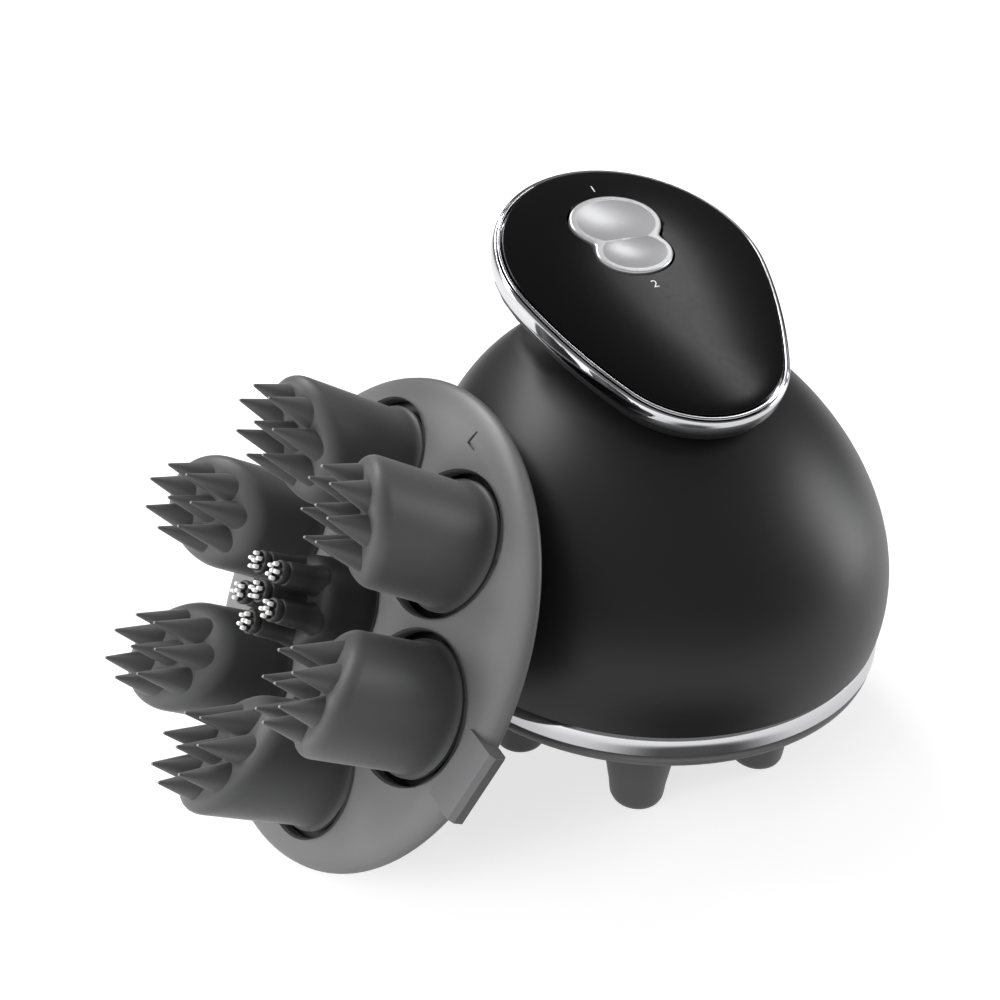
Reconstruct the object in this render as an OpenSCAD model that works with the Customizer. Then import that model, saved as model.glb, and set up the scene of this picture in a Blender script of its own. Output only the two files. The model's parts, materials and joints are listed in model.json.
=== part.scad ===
// Head massager: a dome-shaped handset with a clip-on peg attachment, and a spare finger
// attachment that leans against it. Millimetres, Z up, the floor at z = 0.

/* [Handset] */
// Outer radius of the metal ring round the base
ring_r = 53; // [50:0.5:58]
// Height of the metal ring
ring_h = 5.4; // [4.6:0.2:7]
// Height of the ring's top edge above the floor
ring_z = 34; // [32:0.5:40]
// How far the dome's widest section stands out past the ring
dome_bulge = 0.8; // [0.4:0.1:2]
// Height of the dome's widest section above the ring
dome_c = 10.6; // [8:0.2:13]
// Rise of the dome from its widest section to its crown
dome_rise = 53; // [50:0.5:58]
// How far the dome's crown leans back
dome_lean = 18; // [10:0.5:24]
// Wall of the dome and of the grip head
wall = 2.4; // [1.8:0.1:3.2]

/* [Neck] */
// Half width of the neck
neck_rx = 16; // [13:0.5:19]
// Half length of the neck
neck_ry = 20; // [17:0.5:23]
// Distance of the neck behind the base axis
neck_y = 14; // [11:0.5:17]
// Height of the split between dome and grip head, above the ring
split_z = 61; // [59.5:0.5:63]

/* [Top plate] */
// Height of the plate over the base axis, above the ring
plate_z = 70.4; // [69:0.2:74]
// Tilt of the plate, its wide end raised
plate_tilt = 24.7; // [20:0.1:28]
// Radius of the plate's wide end
plate_r1 = 30.8; // [29:0.1:33]
// Radius of the plate's narrow end
plate_r2 = 22; // [20:0.1:24]
// Radius of the plate's long sides
plate_side_r = 110; // [90:1:160]
// Distance of the wide end's centre behind the base axis
plate_y1 = 14.3; // [12:0.1:17]
// Distance of the narrow end's centre before the base axis
plate_y2 = 10.6; // [8:0.1:13]
// Height of the metal rim
rim_h = 4.4; // [3.6:0.1:5.4]
// Width of the metal rim
rim_w = 2.2; // [1.8:0.1:3]
// Thickness of the top plate
plate_t = 2.6; // [2.2:0.1:3.2]
// Rise of the plate's crowned face
plate_crown = 1; // [0.4:0.1:1.6]

/* [Mode button] */
// Distance of the large lobe behind the base axis
lobe1_y = 25; // [24:0.1:26]
// Half width of the large lobe
lobe1_rx = 10.6; // [9.6:0.1:11.4]
// Half length of the large lobe
lobe1_ry = 8.2; // [7.6:0.1:9]
// Distance of the small lobe behind the base axis
lobe2_y = 15.2; // [14.6:0.1:16]
// Half width of the small lobe
lobe2_rx = 8.8; // [8:0.1:9.4]
// Half length of the small lobe
lobe2_ry = 6.6; // [6:0.1:7.2]
// Gap round the button
button_gap = 0.5; // [0.4:0.05:0.8]
// How far the button stands above the plate
button_proud = 0.5; // [0.3:0.1:1.2]
// Thickness of the button
button_t = 3.4; // [3:0.1:4]
// Diameter of the button's pivot pin
button_pin_d = 1.6; // [1.2:0.1:2]

/* [Drive] */
// Eccentricity of the crank pin
crank_e = 1.2; // [0.8:0.1:1.6]
// Diameter of the crank pin
crank_pin_d = 4; // [3:0.1:5]
// Gear module
gear_m = 0.8; // [0.7:0.05:0.9]
// Teeth of the crank gear
gear_teeth = 44; // [40:1:48]
// Teeth of the motor pinion
pinion_teeth = 12; // [11:1:14]
// Width of the gears
gear_w = 5; // [4:0.5:6]
// Height of the crank axis above the ring
crank_z = 24; // [23:0.5:27]
// Diameter of the motor can
motor_d = 20; // [18:0.5:22]
// Length of the motor can
motor_l = 27; // [22:0.5:29]
// Diameter of the drive post
post_d = 8; // [7:0.5:9]
// Diameter of the battery cell
cell_d = 18; // [16:0.5:19]
// Length of the battery cell
cell_l = 50; // [44:1:52]

/* [Attachments] */
// How far an attachment's rim stays inside the ring
att_inset = 0.4; // [0:0.1:1]
// Height of an attachment's straight edge
att_edge_h = 1.2; // [1:0.1:1.6]
// Height at which its rounded rim meets the face
att_rim_h = 4.2; // [4:0.1:5]
// Width of the rounded rim
att_round = 8; // [6:0.5:9]
// Rise of an attachment's face from the rounded rim to the middle
att_crown = 2.2; // [1.8:0.1:3]
// Thickness of an attachment's face
att_wall = 2; // [1.8:0.1:2.4]
// Radius of the circle on which the fingers stand
finger_circle_r = 32; // [31:0.25:33]
// Radius of a finger's hole
finger_hole_r = 14.8; // [14.2:0.1:15.2]
// Gap between a finger's skirt and its hole
finger_gap = 1.4; // [1.2:0.1:1.8]
// Radius of the middle hole
middle_hole_r = 12.6; // [12:0.1:13.2]
// Step from an attachment's rim to the boss behind it
boss_inset = 8.6; // [8:0.2:10]
// Height of the boss behind an attachment
boss_h = 2.8; // [2.8:0.1:4]
// Diameter of a finger's hinge pin
hinge_d = 2.4; // [2:0.1:2.8]
// Radius of a finger's body near its tip
finger_tip_r = 12; // [11:0.1:12.4]
// Height of a finger above the seat
finger_h = 27; // [25:0.25:29]
// Slant of a finger's tip towards the middle
finger_slant = 24; // [18:1:28]
// Length of a spike
spike_l = 8.25; // [7:0.25:10]
// Radius of a spike at its root
spike_r = 2.8; // [2.2:0.1:3]
// Radius of the ring of spikes
spike_ring_r = 6.9; // [6.6:0.1:7.2]
// Number of spikes in the ring
spike_n = 7; // [5:1:7]
// Diameter of a bristle tube
tube_d = 5; // [4.2:0.1:5.4]
// Radius of the ring of bristle tubes
tube_ring_r = 6.4; // [6:0.1:7]
// Radius of a peg where it leaves its hole
peg_root_r = 8.6; // [8:0.1:9.4]
// Radius of a peg at its tip
peg_tip_r = 5.8; // [5.2:0.1:6.4]

/* [Spare attachment] */
// Gap between the spare's back and the dome it leans on
spare_gap = 0.3; // [0.3:0.1:3]
// Direction of the spare from the base axis
spare_dir = 178.1; // [176:0.1:180]
// Direction in which the spare faces
spare_face = 188.8; // [186:0.1:192]
// Angle of the spare's face above level
spare_up = 32.5; // [30:0.1:33]
// Turn of the spare about its own middle
spare_turn = -6.6; // [-12:0.1:12]

/* [Placement] */
// Shift of the set to the right, which puts the middle of its box over the origin
set_x = 32.2; // [20:0.1:50]
// Shift of the set to the back, which puts the middle of its box over the origin
set_y = -2.3; // [-10:0.1:10]

/* [Hidden] */

finger_n = 6;                           // outer fingers of an attachment
dome_r = ring_r + dome_bulge;           // largest radius of the dome
att_r = ring_r - att_inset;             // outer radius of an attachment
boss_r = att_r - boss_inset;            // radius of the boss behind it

// fits
fit = 0.15;          // clearance of a shaft in its hole
free = 0.3;          // clearance between pieces that move past each other
loft_n = 56;         // points round a lofted section
$fn = 64;

// heights, from the floor
seat_z = ring_z - ring_h;               // where an attachment seats

// ---------- shared shapes ----------

// solid through a list of closed sections, each a list of points, counterclockwise from above
module loft(sections) {
    n = len(sections[0]);
    m = len(sections);
    points = [for (s = sections) for (p = s) p];
    sides = [for (k = [0 : m - 2]) for (j = [0 : n - 1])
        let (a = k * n + j, b = k * n + (j + 1) % n)
        each [[a, a + n, b + n], [a, b + n, b]]];
    caps = [[for (j = [0 : n - 1]) j], [for (j = [n - 1 : -1 : 0]) (m - 1) * n + j]];
    polyhedron(points = points, faces = concat(sides, caps));
}

module at_set() {
    translate([set_x, set_y, 0]) children();
}
// frame of the handset: origin on the base axis, level with the ring's top edge
module at_ring() {
    at_set() translate([0, 0, ring_z]) children();
}
// frame of the plate: origin over the base axis, Z square to the plate
module at_plate() {
    at_ring() translate([0, 0, plate_z]) rotate([plate_tilt, 0, 0]) children();
}

// ---------- plate outline: four arcs that meet without a corner ----------

arc_d1 = plate_side_r - plate_r1;       // side arc's centre from the wide end's centre
arc_d2 = plate_side_r - plate_r2;       // side arc's centre from the narrow end's centre
arc_d = plate_y1 + plate_y2;            // between the ends' centres
arc_y = plate_y1 - (arc_d * arc_d + arc_d1 * arc_d1 - arc_d2 * arc_d2) / (2 * arc_d);
arc_x = sqrt(arc_d1 * arc_d1 - (plate_y1 - arc_y) * (plate_y1 - arc_y));
arc_a1 = atan2(plate_y1 - arc_y, arc_x);    // where the right side meets the wide end
arc_a2 = atan2(-plate_y2 - arc_y, arc_x);   // where it meets the narrow end

// points of the outline moved inwards by d, counterclockwise from the right-hand corner
function egg(d, n = loft_n) =
    let (side = round(n / 7), wide = round(n / 2) - side, narrow = n - 2 * side - wide)
    concat(
        [for (i = [0 : side - 1])
            let (a = arc_a2 + (arc_a1 - arc_a2) * i / side)
            [-arc_x + (plate_side_r - d) * cos(a), arc_y + (plate_side_r - d) * sin(a)]],
        [for (i = [0 : wide - 1])
            let (a = arc_a1 + (180 - 2 * arc_a1) * i / wide)
            [(plate_r1 - d) * cos(a), plate_y1 + (plate_r1 - d) * sin(a)]],
        [for (i = [0 : side - 1])
            let (a = 180 - arc_a1 + (arc_a1 - arc_a2) * i / side)
            [arc_x + (plate_side_r - d) * cos(a), arc_y + (plate_side_r - d) * sin(a)]],
        [for (i = [0 : narrow - 1])
            let (a = 180 - arc_a2 + (180 + 2 * arc_a2) * i / narrow)
            [(plate_r2 - d) * cos(a), -plate_y2 + (plate_r2 - d) * sin(a)]]);

// the outline moved inwards by d, as a flat shape with true arcs
module egg_shape(d) {
    translate([0, plate_y1]) circle(plate_r1 - d);
    translate([0, -plate_y2]) circle(plate_r2 - d);
    intersection() {
        translate([-arc_x, arc_y]) circle(plate_side_r - d, $fn = 360);
        translate([arc_x, arc_y]) circle(plate_side_r - d, $fn = 360);
        polygon([
            [0, plate_y1],
            [plate_side_r * cos(arc_a1), plate_y1 + plate_side_r * sin(arc_a1)],
            [plate_side_r * cos(arc_a2), -plate_y2 + plate_side_r * sin(arc_a2)],
            [0, -plate_y2],
            [-plate_side_r * cos(arc_a2), -plate_y2 + plate_side_r * sin(arc_a2)],
            [-plate_side_r * cos(arc_a1), plate_y1 + plate_side_r * sin(arc_a1)]]);
    }
}

// a point of the plate's outline, at height z in the plate's frame, in the handset's frame
function on_plate(p, z) = [
    p[0],
    p[1] * cos(plate_tilt) - z * sin(plate_tilt),
    plate_z + p[1] * sin(plate_tilt) + z * cos(plate_tilt)];

egg_mid_y = (plate_y1 + plate_r1 - plate_y2 - plate_r2) / 2;
function egg_angle(p) = atan2(p[1] - egg_mid_y, p[0]);

// ---------- dome and neck ----------

dome_top = dome_c + dome_rise;
shoulder_r = neck_ry + 4;               // dome radius at which the neck's fillet starts
shoulder_a = acos(shoulder_r / dome_r);
shoulder_z = dome_c + dome_rise * sin(shoulder_a);
dome_foot_a = -asin(dome_c / dome_rise);
dome_foot_r = dome_r * cos(dome_foot_a);
dome_steps = 11;
neck_steps = 4;

function lean(z) = dome_lean * pow(max(z, 0) / dome_top, 2);
function ring_points(rx, ry, y, z) = [for (j = [0 : loft_n - 1])
    let (a = 360 * j / loft_n) [rx * cos(a), y + ry * sin(a), z]];
// level section of the dome at elevation a, moved inwards by d
function dome_section(a, d) =
    let (z = dome_c + (dome_rise - d) * sin(a), r = (dome_r - d) * cos(a))
    ring_points(r, r, lean(z), z);
// section k of the fillet that leads from the shoulder into the neck, moved inwards by d
function neck_section(k, d) =
    let (a = 90 * k / neck_steps, f = sin(a), g = 1 - cos(a), z = shoulder_z - d)
    ring_points(
        shoulder_r - d + (neck_rx - shoulder_r) * f,
        shoulder_r - d + (neck_ry - shoulder_r) * f,
        lean(shoulder_z) + (neck_y - lean(shoulder_z)) * f,
        z + (split_z - z) * g);

module dome_solid(d, foot, top) {
    foot_r = (dome_r - d) * cos(dome_foot_a);
    loft(concat(
        [ring_points(foot_r, foot_r, 0, -foot)],
        [for (k = [foot > 0 ? 0 : 1 : dome_steps])
            dome_section(dome_foot_a + (shoulder_a - dome_foot_a) * k / dome_steps, d)],
        [for (k = [1 : neck_steps]) neck_section(k, d)],
        top > 0 ? [ring_points(neck_rx - d, neck_ry - d, neck_y, split_z + top)] : []));
}

pad_z = 13;                             // height of the charging pad above the ring
pad_r = 7;
pad_y = dome_r + lean(pad_z);           // the dome's surface there
pad_flange = 1.5 * wall;                // depth of the pad's flange under the surface
module dome_shell() {
    color("#202022") at_ring() difference() {
        dome_solid(0, 0, 0);
        dome_solid(wall, 2, 2);
        translate([0, pad_y - 2 * wall, pad_z]) rotate([-90, 0, 0])
            cylinder(h = 4 * wall, r = pad_r + fit);
    }
}

// ---------- grip head under the plate ----------

head_depth = 2.8;                       // rounded edge of the head under the rim
head_steps = 7;
pocket_x = 12.6;                        // half width of the pocket under the button
pocket_half = 14;                       // half length of the pocket
pocket_z = -7.4;                        // its floor, in the plate's frame
pivot_y = (lobe1_y - lobe1_ry + lobe2_y + lobe2_ry) / 2;    // the button's waist
pivot_z = -4.2;
ear_w = 2.4;                            // thickness of the ears that hold the pivot pin
ear_l = 4.8;                            // their length along the plate
ear_x = 6.6;                            // inner face of each ear

// section t (0 at the neck, 1 at the rim) of the flare under the plate
function flare_section(t) = [for (p = egg(3))
    let (a = egg_angle(p),
         low = [neck_rx * cos(a), neck_y + neck_ry * sin(a), split_z],
         high = on_plate(p, -rim_h - head_depth),
         f = 1 - cos(90 * t), g = sin(90 * t), rise = high[2] - low[2])
    [low[0] + (high[0] - low[0]) * f,
     low[1] + (high[1] - low[1]) * f,
     low[2] + max(rise, 0) * g + min(rise, 0) * f]];

module button_outline(grow) {
    translate([0, lobe1_y]) scale([lobe1_rx + grow, lobe1_ry + grow]) circle(1, $fn = 48);
    translate([0, lobe2_y]) scale([lobe2_rx + grow, lobe2_ry + grow]) circle(1, $fn = 48);
}

// low corner of each ear, on the floor of the pocket
module at_ears() {
    for (s = [-1, 1])
        translate([s * (ear_x + ear_w / 2) - ear_w / 2, pivot_y - ear_l / 2, pocket_z]) children();
}
module grip_head() {
    color("#242426") difference() {
        union() {
            at_ring() loft(concat(
                [for (k = [0 : head_steps]) flare_section(k / head_steps)],
                [for (a = [30, 60, 90]) [for (p = egg(3 - 2.6 * sin(a)))
                    on_plate(p, -rim_h - head_depth * cos(a))]],
                [for (z = [-rim_h, -plate_t]) [for (p = egg(rim_w + free)) on_plate(p, z)]]));
            at_ring() translate([0, neck_y, split_z - 4])
                cylinder(h = 6, r = neck_rx - wall - free);
        }
        at_plate() difference() {
            translate([-pocket_x, pivot_y - pocket_half, pocket_z])
                cube([2 * pocket_x, 2 * pocket_half, 12]);
            at_ears() cube([ear_w, ear_l, -plate_t - free - pocket_z]);
        }
        at_plate() translate([-ear_x - ear_w - 1, pivot_y, pivot_z]) rotate([0, 90, 0])
            cylinder(h = 2 * (ear_x + ear_w + 1), d = button_pin_d + 0.1);
        at_ring() translate([0, neck_y, split_z - 5]) cylinder(h = 16, r = 5);
    }
}

module plate_rim() {
    color("#e8e8ea") at_plate() difference() {
        union() {
            translate([0, 0, -rim_h]) linear_extrude(0.7) egg_shape(0.5);
            translate([0, 0, -rim_h + 0.7]) linear_extrude(rim_h - 1.3) egg_shape(0);
            translate([0, 0, -0.6]) linear_extrude(0.6) egg_shape(0.4);
        }
        translate([0, 0, -rim_h - 1]) linear_extrude(rim_h + 2) egg_shape(rim_w);
    }
}

crown_steps = 4;
// rise of the plate's crowned face at radius r from the middle of the outline
function crown_z(r) = plate_crown * (1 - pow(r / (plate_r1 + plate_y1 - egg_mid_y), 2));
module top_plate() {
    reach = plate_r1 + plate_y1 - egg_mid_y + 2;
    color("#0c0c0e") at_plate() difference() {
        intersection() {
            translate([0, 0, -plate_t]) linear_extrude(plate_t + plate_crown + 1)
                egg_shape(rim_w + fit);
            translate([0, egg_mid_y, 0]) rotate_extrude($fn = 96) polygon(concat(
                [[0, -plate_t - 1], [reach, -plate_t - 1]],
                [for (k = [crown_steps : -1 : 0])
                    [reach * k / crown_steps, crown_z(reach * k / crown_steps)]]));
        }
        translate([0, 0, -plate_t - 1]) linear_extrude(plate_t + plate_crown + 3)
            button_outline(button_gap);
    }
}

// ---------- mode button ----------

button_z = button_proud - button_t + plate_crown;      // its underside
dish_r = 30;
module mode_button() {
    color("#c4c4c8") at_plate() difference() {
        union() {
            translate([0, 0, button_z]) linear_extrude(button_t) button_outline(0);
            translate([-ear_x + free, pivot_y, pivot_z]) rotate([0, 90, 0])
                cylinder(h = 2 * (ear_x - free), d = button_pin_d + 1.6);
            translate([-ear_x + free, pivot_y - 1, pivot_z])
                cube([2 * (ear_x - free), 2, button_z - pivot_z + 0.5]);
        }
        translate([-ear_x - 1, pivot_y, pivot_z]) rotate([0, 90, 0])
            cylinder(h = 2 * (ear_x + 1), d = button_pin_d + 2 * fit);
        translate([0, lobe1_y, button_z + button_t + dish_r - 0.8]) sphere(dish_r, $fn = 96);
        translate([0, lobe2_y - 1, button_z + button_t + dish_r - 0.6]) sphere(dish_r, $fn = 96);
    }
}
module button_pin() {
    color("silver") at_plate() translate([-ear_x - ear_w, pivot_y, pivot_z]) rotate([0, 90, 0])
        cylinder(h = 2 * (ear_x + ear_w), d = button_pin_d);
}

board_t = 1.2;
switch_y = 6.4;                         // of each switch from the pivot
switch_w = 4.6;
switch_play = 0.45;                      // between a switch and the button at rest
module button_board() {
    color("darkgreen") at_plate()
        difference() {
            translate([-pocket_x + free, pivot_y - pocket_half + free, pocket_z])
                cube([2 * (pocket_x - free), 2 * (pocket_half - free), board_t]);
            at_ears() translate([-free, -free, -1])
                cube([ear_w + 2 * free, ear_l + 2 * free, board_t + 2]);
        }
}
module tact_switches() {
    color("dimgray") at_plate() for (s = [-1, 1])
        translate([0, pivot_y + s * switch_y, pocket_z + board_t]) {
            translate([-switch_w / 2, -switch_w / 2, 0]) cube([switch_w, switch_w, 2]);
            cylinder(h = button_z - switch_play - pocket_z - board_t, r = 1.5);
        }
}

// ---------- base of the handset ----------

ring_in_r = dome_foot_r - wall;                  // inside of the ring
deck_r = dome_foot_r - wall - free;              // deck inside the dome's wall
deck_t = 2;
recess_r = boss_r + free;                        // recess that takes an attachment's boss
deck_z = -ring_h + boss_h + free;                // underside of the deck
deck_top = deck_z + deck_t;
screw_r = (recess_r + deck_r) / 2;               // circle of the chassis screws
screw_d = 2.9;
screw_head_d = 5.4;
screw_head_h = 1.5;
screw_deep = 1.1;                                // of a head under the chassis's lower face
post_hole_r = post_d / 2 + fit;
post_seal_t = 1;
post_seal_r = post_d / 2 + 2.2;
seal_t = 0.5;                                    // radius of the base seal's section
seal_mid_r = deck_r - 0.35;                      // radius of the base seal
seal_z = deck_top - 0.9;                         // its height
claw_r = screw_r;                                // the attachments' claws
claw_w = 9;
claw_t = 2;
claw_h = 2.6;

module base_ring() {
    color("#e4e4e6") at_ring() rotate_extrude($fn = 120) polygon([
        [ring_in_r, -ring_h], [ring_r - 0.9, -ring_h], [ring_r - 0.3, -ring_h + 0.5],
        [ring_r, -ring_h + 1.3], [ring_r, -1], [ring_r - 0.25, -0.3],
        [ring_r - 0.7, 0], [ring_in_r, 0]]);
}
module at_screws(n = 4) {
    for (i = [0 : n - 1]) rotate([0, 0, 45 + i * 360 / n]) translate([screw_r, 0, 0]) children();
}
module chassis() {
    color("#2c2c2e") at_ring() difference() {
        union() {
            translate([0, 0, -ring_h]) cylinder(h = ring_h - free, r = ring_in_r - fit);
            translate([0, 0, -ring_h]) cylinder(h = ring_h + deck_top, r = deck_r);
        }
        translate([0, 0, -ring_h - 1]) cylinder(h = deck_z + ring_h + 1, r = recess_r);
        translate([0, 0, -ring_h - 1]) cylinder(h = 2 * ring_h + 2, r = post_hole_r);
        translate([0, 0, deck_z - 1]) cylinder(h = 1 + post_seal_t, r = post_seal_r + 0.05);
        at_screws() {
            translate([0, 0, -ring_h - 1])
                cylinder(h = 1 + screw_deep + screw_head_h, d = screw_head_d + 0.4);
            translate([0, 0, -ring_h - 1]) cylinder(h = 2 * ring_h, d = screw_d + 2 * fit);
        }
        for (s = [-1, 1])
            translate([s * claw_r - claw_t / 2 - free, -claw_w / 2 - free, -ring_h - 1])
                cube([claw_t + 2 * free, claw_w + 2 * free, claw_h + 1 + free]);
        rotate_extrude() translate([seal_mid_r, seal_z]) circle(seal_t + 0.03, $fn = 24);
    }
}
inner_ring_h = 3.6;
module inner_ring() {
    color("#3a3a3c") at_ring() difference() {
        translate([0, 0, deck_top]) cylinder(h = inner_ring_h, r = deck_r);
        translate([0, 0, deck_top - 1]) cylinder(h = inner_ring_h + 2, r = recess_r);
        at_screws() translate([0, 0, deck_top - 1]) cylinder(h = inner_ring_h + 0.4, d = screw_d + 0.1);
    }
}
module base_seal() {
    color("#151515") at_ring() rotate_extrude()
        translate([seal_mid_r, seal_z]) circle(seal_t, $fn = 24);
}
module chassis_screws() {
    color("silver") at_ring() at_screws() {
        translate([0, 0, screw_deep - ring_h]) cylinder(h = screw_head_h, d = screw_head_d);
        translate([0, 0, screw_deep - ring_h])
            cylinder(h = ring_h - screw_deep + deck_top + inner_ring_h - 1, d = screw_d);
    }
}

// charging pad at the back, with two contacts
module charge_pad() {
    color("#181818") at_ring() difference() {
        union() {
            translate([0, pad_y - 2 * wall, pad_z]) rotate([-90, 0, 0])
                cylinder(h = 2 * wall - 0.2, r = pad_r);
            translate([0, pad_y - 3 * wall, pad_z]) rotate([-90, 0, 0])
                cylinder(h = 3 * wall - pad_flange, r = pad_r + 1);
        }
        for (s = [-1, 1]) translate([s * 3, pad_y - 4 * wall, pad_z]) rotate([-90, 0, 0])
            cylinder(h = 6 * wall, r = 1.3);
    }
}
module charge_contacts() {
    color("gold") at_ring() for (s = [-1, 1]) translate([s * 3, pad_y - 3.4 * wall, pad_z])
        rotate([-90, 0, 0]) cylinder(h = 3.4 * wall - 0.4, r = 1.3);
}

// ---------- drive ----------

gear_r = gear_m * gear_teeth / 2;
pinion_r = gear_m * pinion_teeth / 2;
shaft_gap = gear_r + pinion_r + 0.1;             // between crank and motor axes
gear_tip_r = gear_r + 0.9 * gear_m;              // over the crank gear's teeth
gear_x = post_d / 2 + 0.5;                       // inner face of the gears
frame_t = 2.4;                                   // thickness of the gear frame's walls
wall_x = gear_x + gear_w + 1.4;                  // wall that carries the crank gear
mount_x = 2;                                     // outer face of the wall that carries the motor
board_z = crank_z + gear_r + 3;                  // underside of the main board
yoke_w = 2 * (crank_pin_d / 2 + crank_e + free); // window of the yoke
yoke_h = yoke_w + 2 * crank_e;
yoke_t = 4;
yoke_wall = 3;
axle_d = 4;

// one gear: straight-sided teeth on a disc, square to Z
module gear(teeth, width, bore) {
    root = gear_m * (teeth / 2 - 1.2);
    tip = gear_m * (teeth / 2 + 0.9);
    pitch = 360 / teeth;
    difference() {
        linear_extrude(width) polygon([for (i = [0 : teeth - 1]) for (q = [
                [root, -0.34], [tip, -0.13], [tip, 0.13], [root, 0.34]])
            [q[0] * cos((i + q[1]) * pitch), q[0] * sin((i + q[1]) * pitch)]]);
        if (bore > 0) translate([0, 0, -1]) cylinder(h = width + 2, d = bore);
    }
}
module along_x(x) {
    translate([x, 0, 0]) rotate([0, 90, 0]) children();
}
module at_crank() {
    at_ring() translate([0, 0, crank_z]) children();
}
module at_motor() {
    at_ring() translate([0, shaft_gap, crank_z]) children();
}
hub_r = gear_r * 0.42;
module crank_gear() {
    color("ivory") at_crank() difference() {
        union() {
            along_x(gear_x) gear(gear_teeth, gear_w, 0);
            along_x(gear_x + gear_w - 0.01) cylinder(h = 0.8, r = hub_r);
            translate([0, 0, crank_e]) along_x(-yoke_t / 2 - 0.6)
                cylinder(h = gear_x + yoke_t / 2 + 0.7, d = crank_pin_d);
        }
        along_x(gear_x + 1.5) cylinder(h = gear_w + 2, d = axle_d + 2 * fit);
        for (i = [0 : 5]) rotate([i * 60, 0, 0]) translate([0, (hub_r + gear_r) / 2 - 0.6, 0])
            along_x(gear_x - 1) cylinder(h = gear_w + 2, r = 2.4);
    }
}
module gear_axle() {
    color("silver") at_crank() along_x(gear_x + 1.7)
        cylinder(h = wall_x + frame_t - gear_x - 1.7, d = axle_d);
}
module motor_pinion() {
    color("goldenrod") at_motor() {
        along_x(gear_x) rotate([0, 0, 180 / pinion_teeth]) gear(pinion_teeth, gear_w, 0);
        along_x(mount_x - frame_t - 1) cylinder(h = gear_x - mount_x + frame_t + 1.1, d = 2);
    }
}
module motor() {
    color("#9a9aa0") at_motor() {
        difference() {
            along_x(mount_x - frame_t - motor_l) cylinder(h = motor_l, d = motor_d);
            along_x(mount_x - frame_t - 2) cylinder(h = 4, d = 2 + 2 * free);
        }
        along_x(mount_x - frame_t - motor_l - 1.6) cylinder(h = 1.61, d = 6);
    }
}
// walls and guide that carry the motor, the crank gear and the board
foot_x = 14;                                     // of the frame's foot to the left
foot_y = 12;                                     // and to the front
foot_t = 2;
foot_in = 4;                                     // of its screws from its edges
foot_screws = [
    for (x = [foot_in - foot_x, wall_x - foot_in]) for (y = [foot_in - foot_y, shaft_gap]) [x, y]];
foot_screw_d = 2.5;
foot_head_d = 4.4;
foot_head_h = 1.2;
module gear_frame() {
    top = board_z - deck_top;
    back_y = shaft_gap + motor_d / 2 + 0.6;
    color("#4c4c50") at_ring() difference() {
        union() {
            translate([-foot_x, -foot_y, deck_top])
                cube([foot_x + wall_x + frame_t, foot_y + back_y, foot_t]);
            translate([wall_x, -foot_y, deck_top]) cube([frame_t, foot_y + back_y, top]);
            translate([mount_x - frame_t, yoke_w / 2 + yoke_wall + 1, deck_top])
                cube([frame_t, back_y - yoke_w / 2 - yoke_wall - 1, top]);
            translate([0, 0, deck_top])
                cylinder(h = crank_z - gear_tip_r - free - deck_top, r = post_d / 2 + 2.4);
        }
        translate([0, 0, deck_top - 1]) cylinder(h = 12, r = post_hole_r);
        translate([0, shaft_gap, crank_z]) along_x(mount_x - frame_t - 1)
            cylinder(h = frame_t + 2, d = 2 + 2 * free);
        translate([0, 0, crank_z]) along_x(wall_x - 1) cylinder(h = frame_t + 2, d = axle_d + 0.1);
        translate([0, shaft_gap, crank_z]) along_x(wall_x - 1) cylinder(h = frame_t + 2, r = 6);
        for (s = foot_screws)
            translate([s[0], s[1], deck_top - 1]) cylinder(h = foot_t + 2, d = foot_screw_d + 0.1);
    }
}
module frame_screws() {
    color("silver") at_ring() for (s = foot_screws) translate([s[0], s[1], deck_top]) {
        cylinder(h = foot_t, d = foot_screw_d);
        translate([0, 0, foot_t]) cylinder(h = foot_head_h, d = foot_head_d);
    }
}
post_foot = -ring_h - 0.8;                       // lower end of the drive post
module drive_post() {
    yoke_y = yoke_w / 2 + yoke_wall;
    yoke_z = yoke_h / 2 + yoke_wall;
    color("#d8d8d0") at_ring() {
        translate([0, 0, post_foot]) cylinder(h = crank_z - yoke_z - post_foot + 0.5, d = post_d);
        difference() {
            translate([-yoke_t / 2, -yoke_y, crank_z - yoke_z]) cube([yoke_t, 2 * yoke_y, 2 * yoke_z]);
            translate([-yoke_t, -yoke_w / 2, crank_z - yoke_h / 2]) cube([2 * yoke_t, yoke_w, yoke_h]);
        }
    }
}
module post_seal() {
    color("#151515") at_ring() translate([0, 0, deck_z]) difference() {
        cylinder(h = post_seal_t, r = post_seal_r);
        translate([0, 0, -1]) cylinder(h = 4, r = post_d / 2 + 0.1);
    }
}

cell_z = deck_top + 1.5 + cell_d / 2;
cell_reach = gear_tip_r + cell_d / 2 + 1.2;      // from the crank axis to the cell's
cell_y = -max(foot_y + 1 + cell_d / 2, sqrt(pow(cell_reach, 2) - pow(crank_z - cell_z, 2)));
module battery() {
    color("steelblue") at_ring() translate([0, cell_y, cell_z]) {
        along_x(-cell_l / 2) cylinder(h = cell_l, d = cell_d);
        along_x(cell_l / 2 - 0.01) cylinder(h = 1, d = 6);
    }
}
module battery_strap() {
    color("#38383a") at_ring() for (x = [-cell_l / 3, cell_l / 3]) difference() {
        union() {
            translate([x - 3, cell_y - cell_d / 2 + 1, deck_top])
                cube([6, cell_d - 2, cell_z - deck_top]);
            translate([0, cell_y, cell_z]) along_x(x - 3) cylinder(h = 6, d = cell_d + 1.6);
        }
        translate([0, cell_y, cell_z]) along_x(x - 4) cylinder(h = 8, d = cell_d + 0.06);
    }
}
main_board_w = 36;
main_board_t = 1.6;
main_board_l = shaft_gap + 10;
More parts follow.
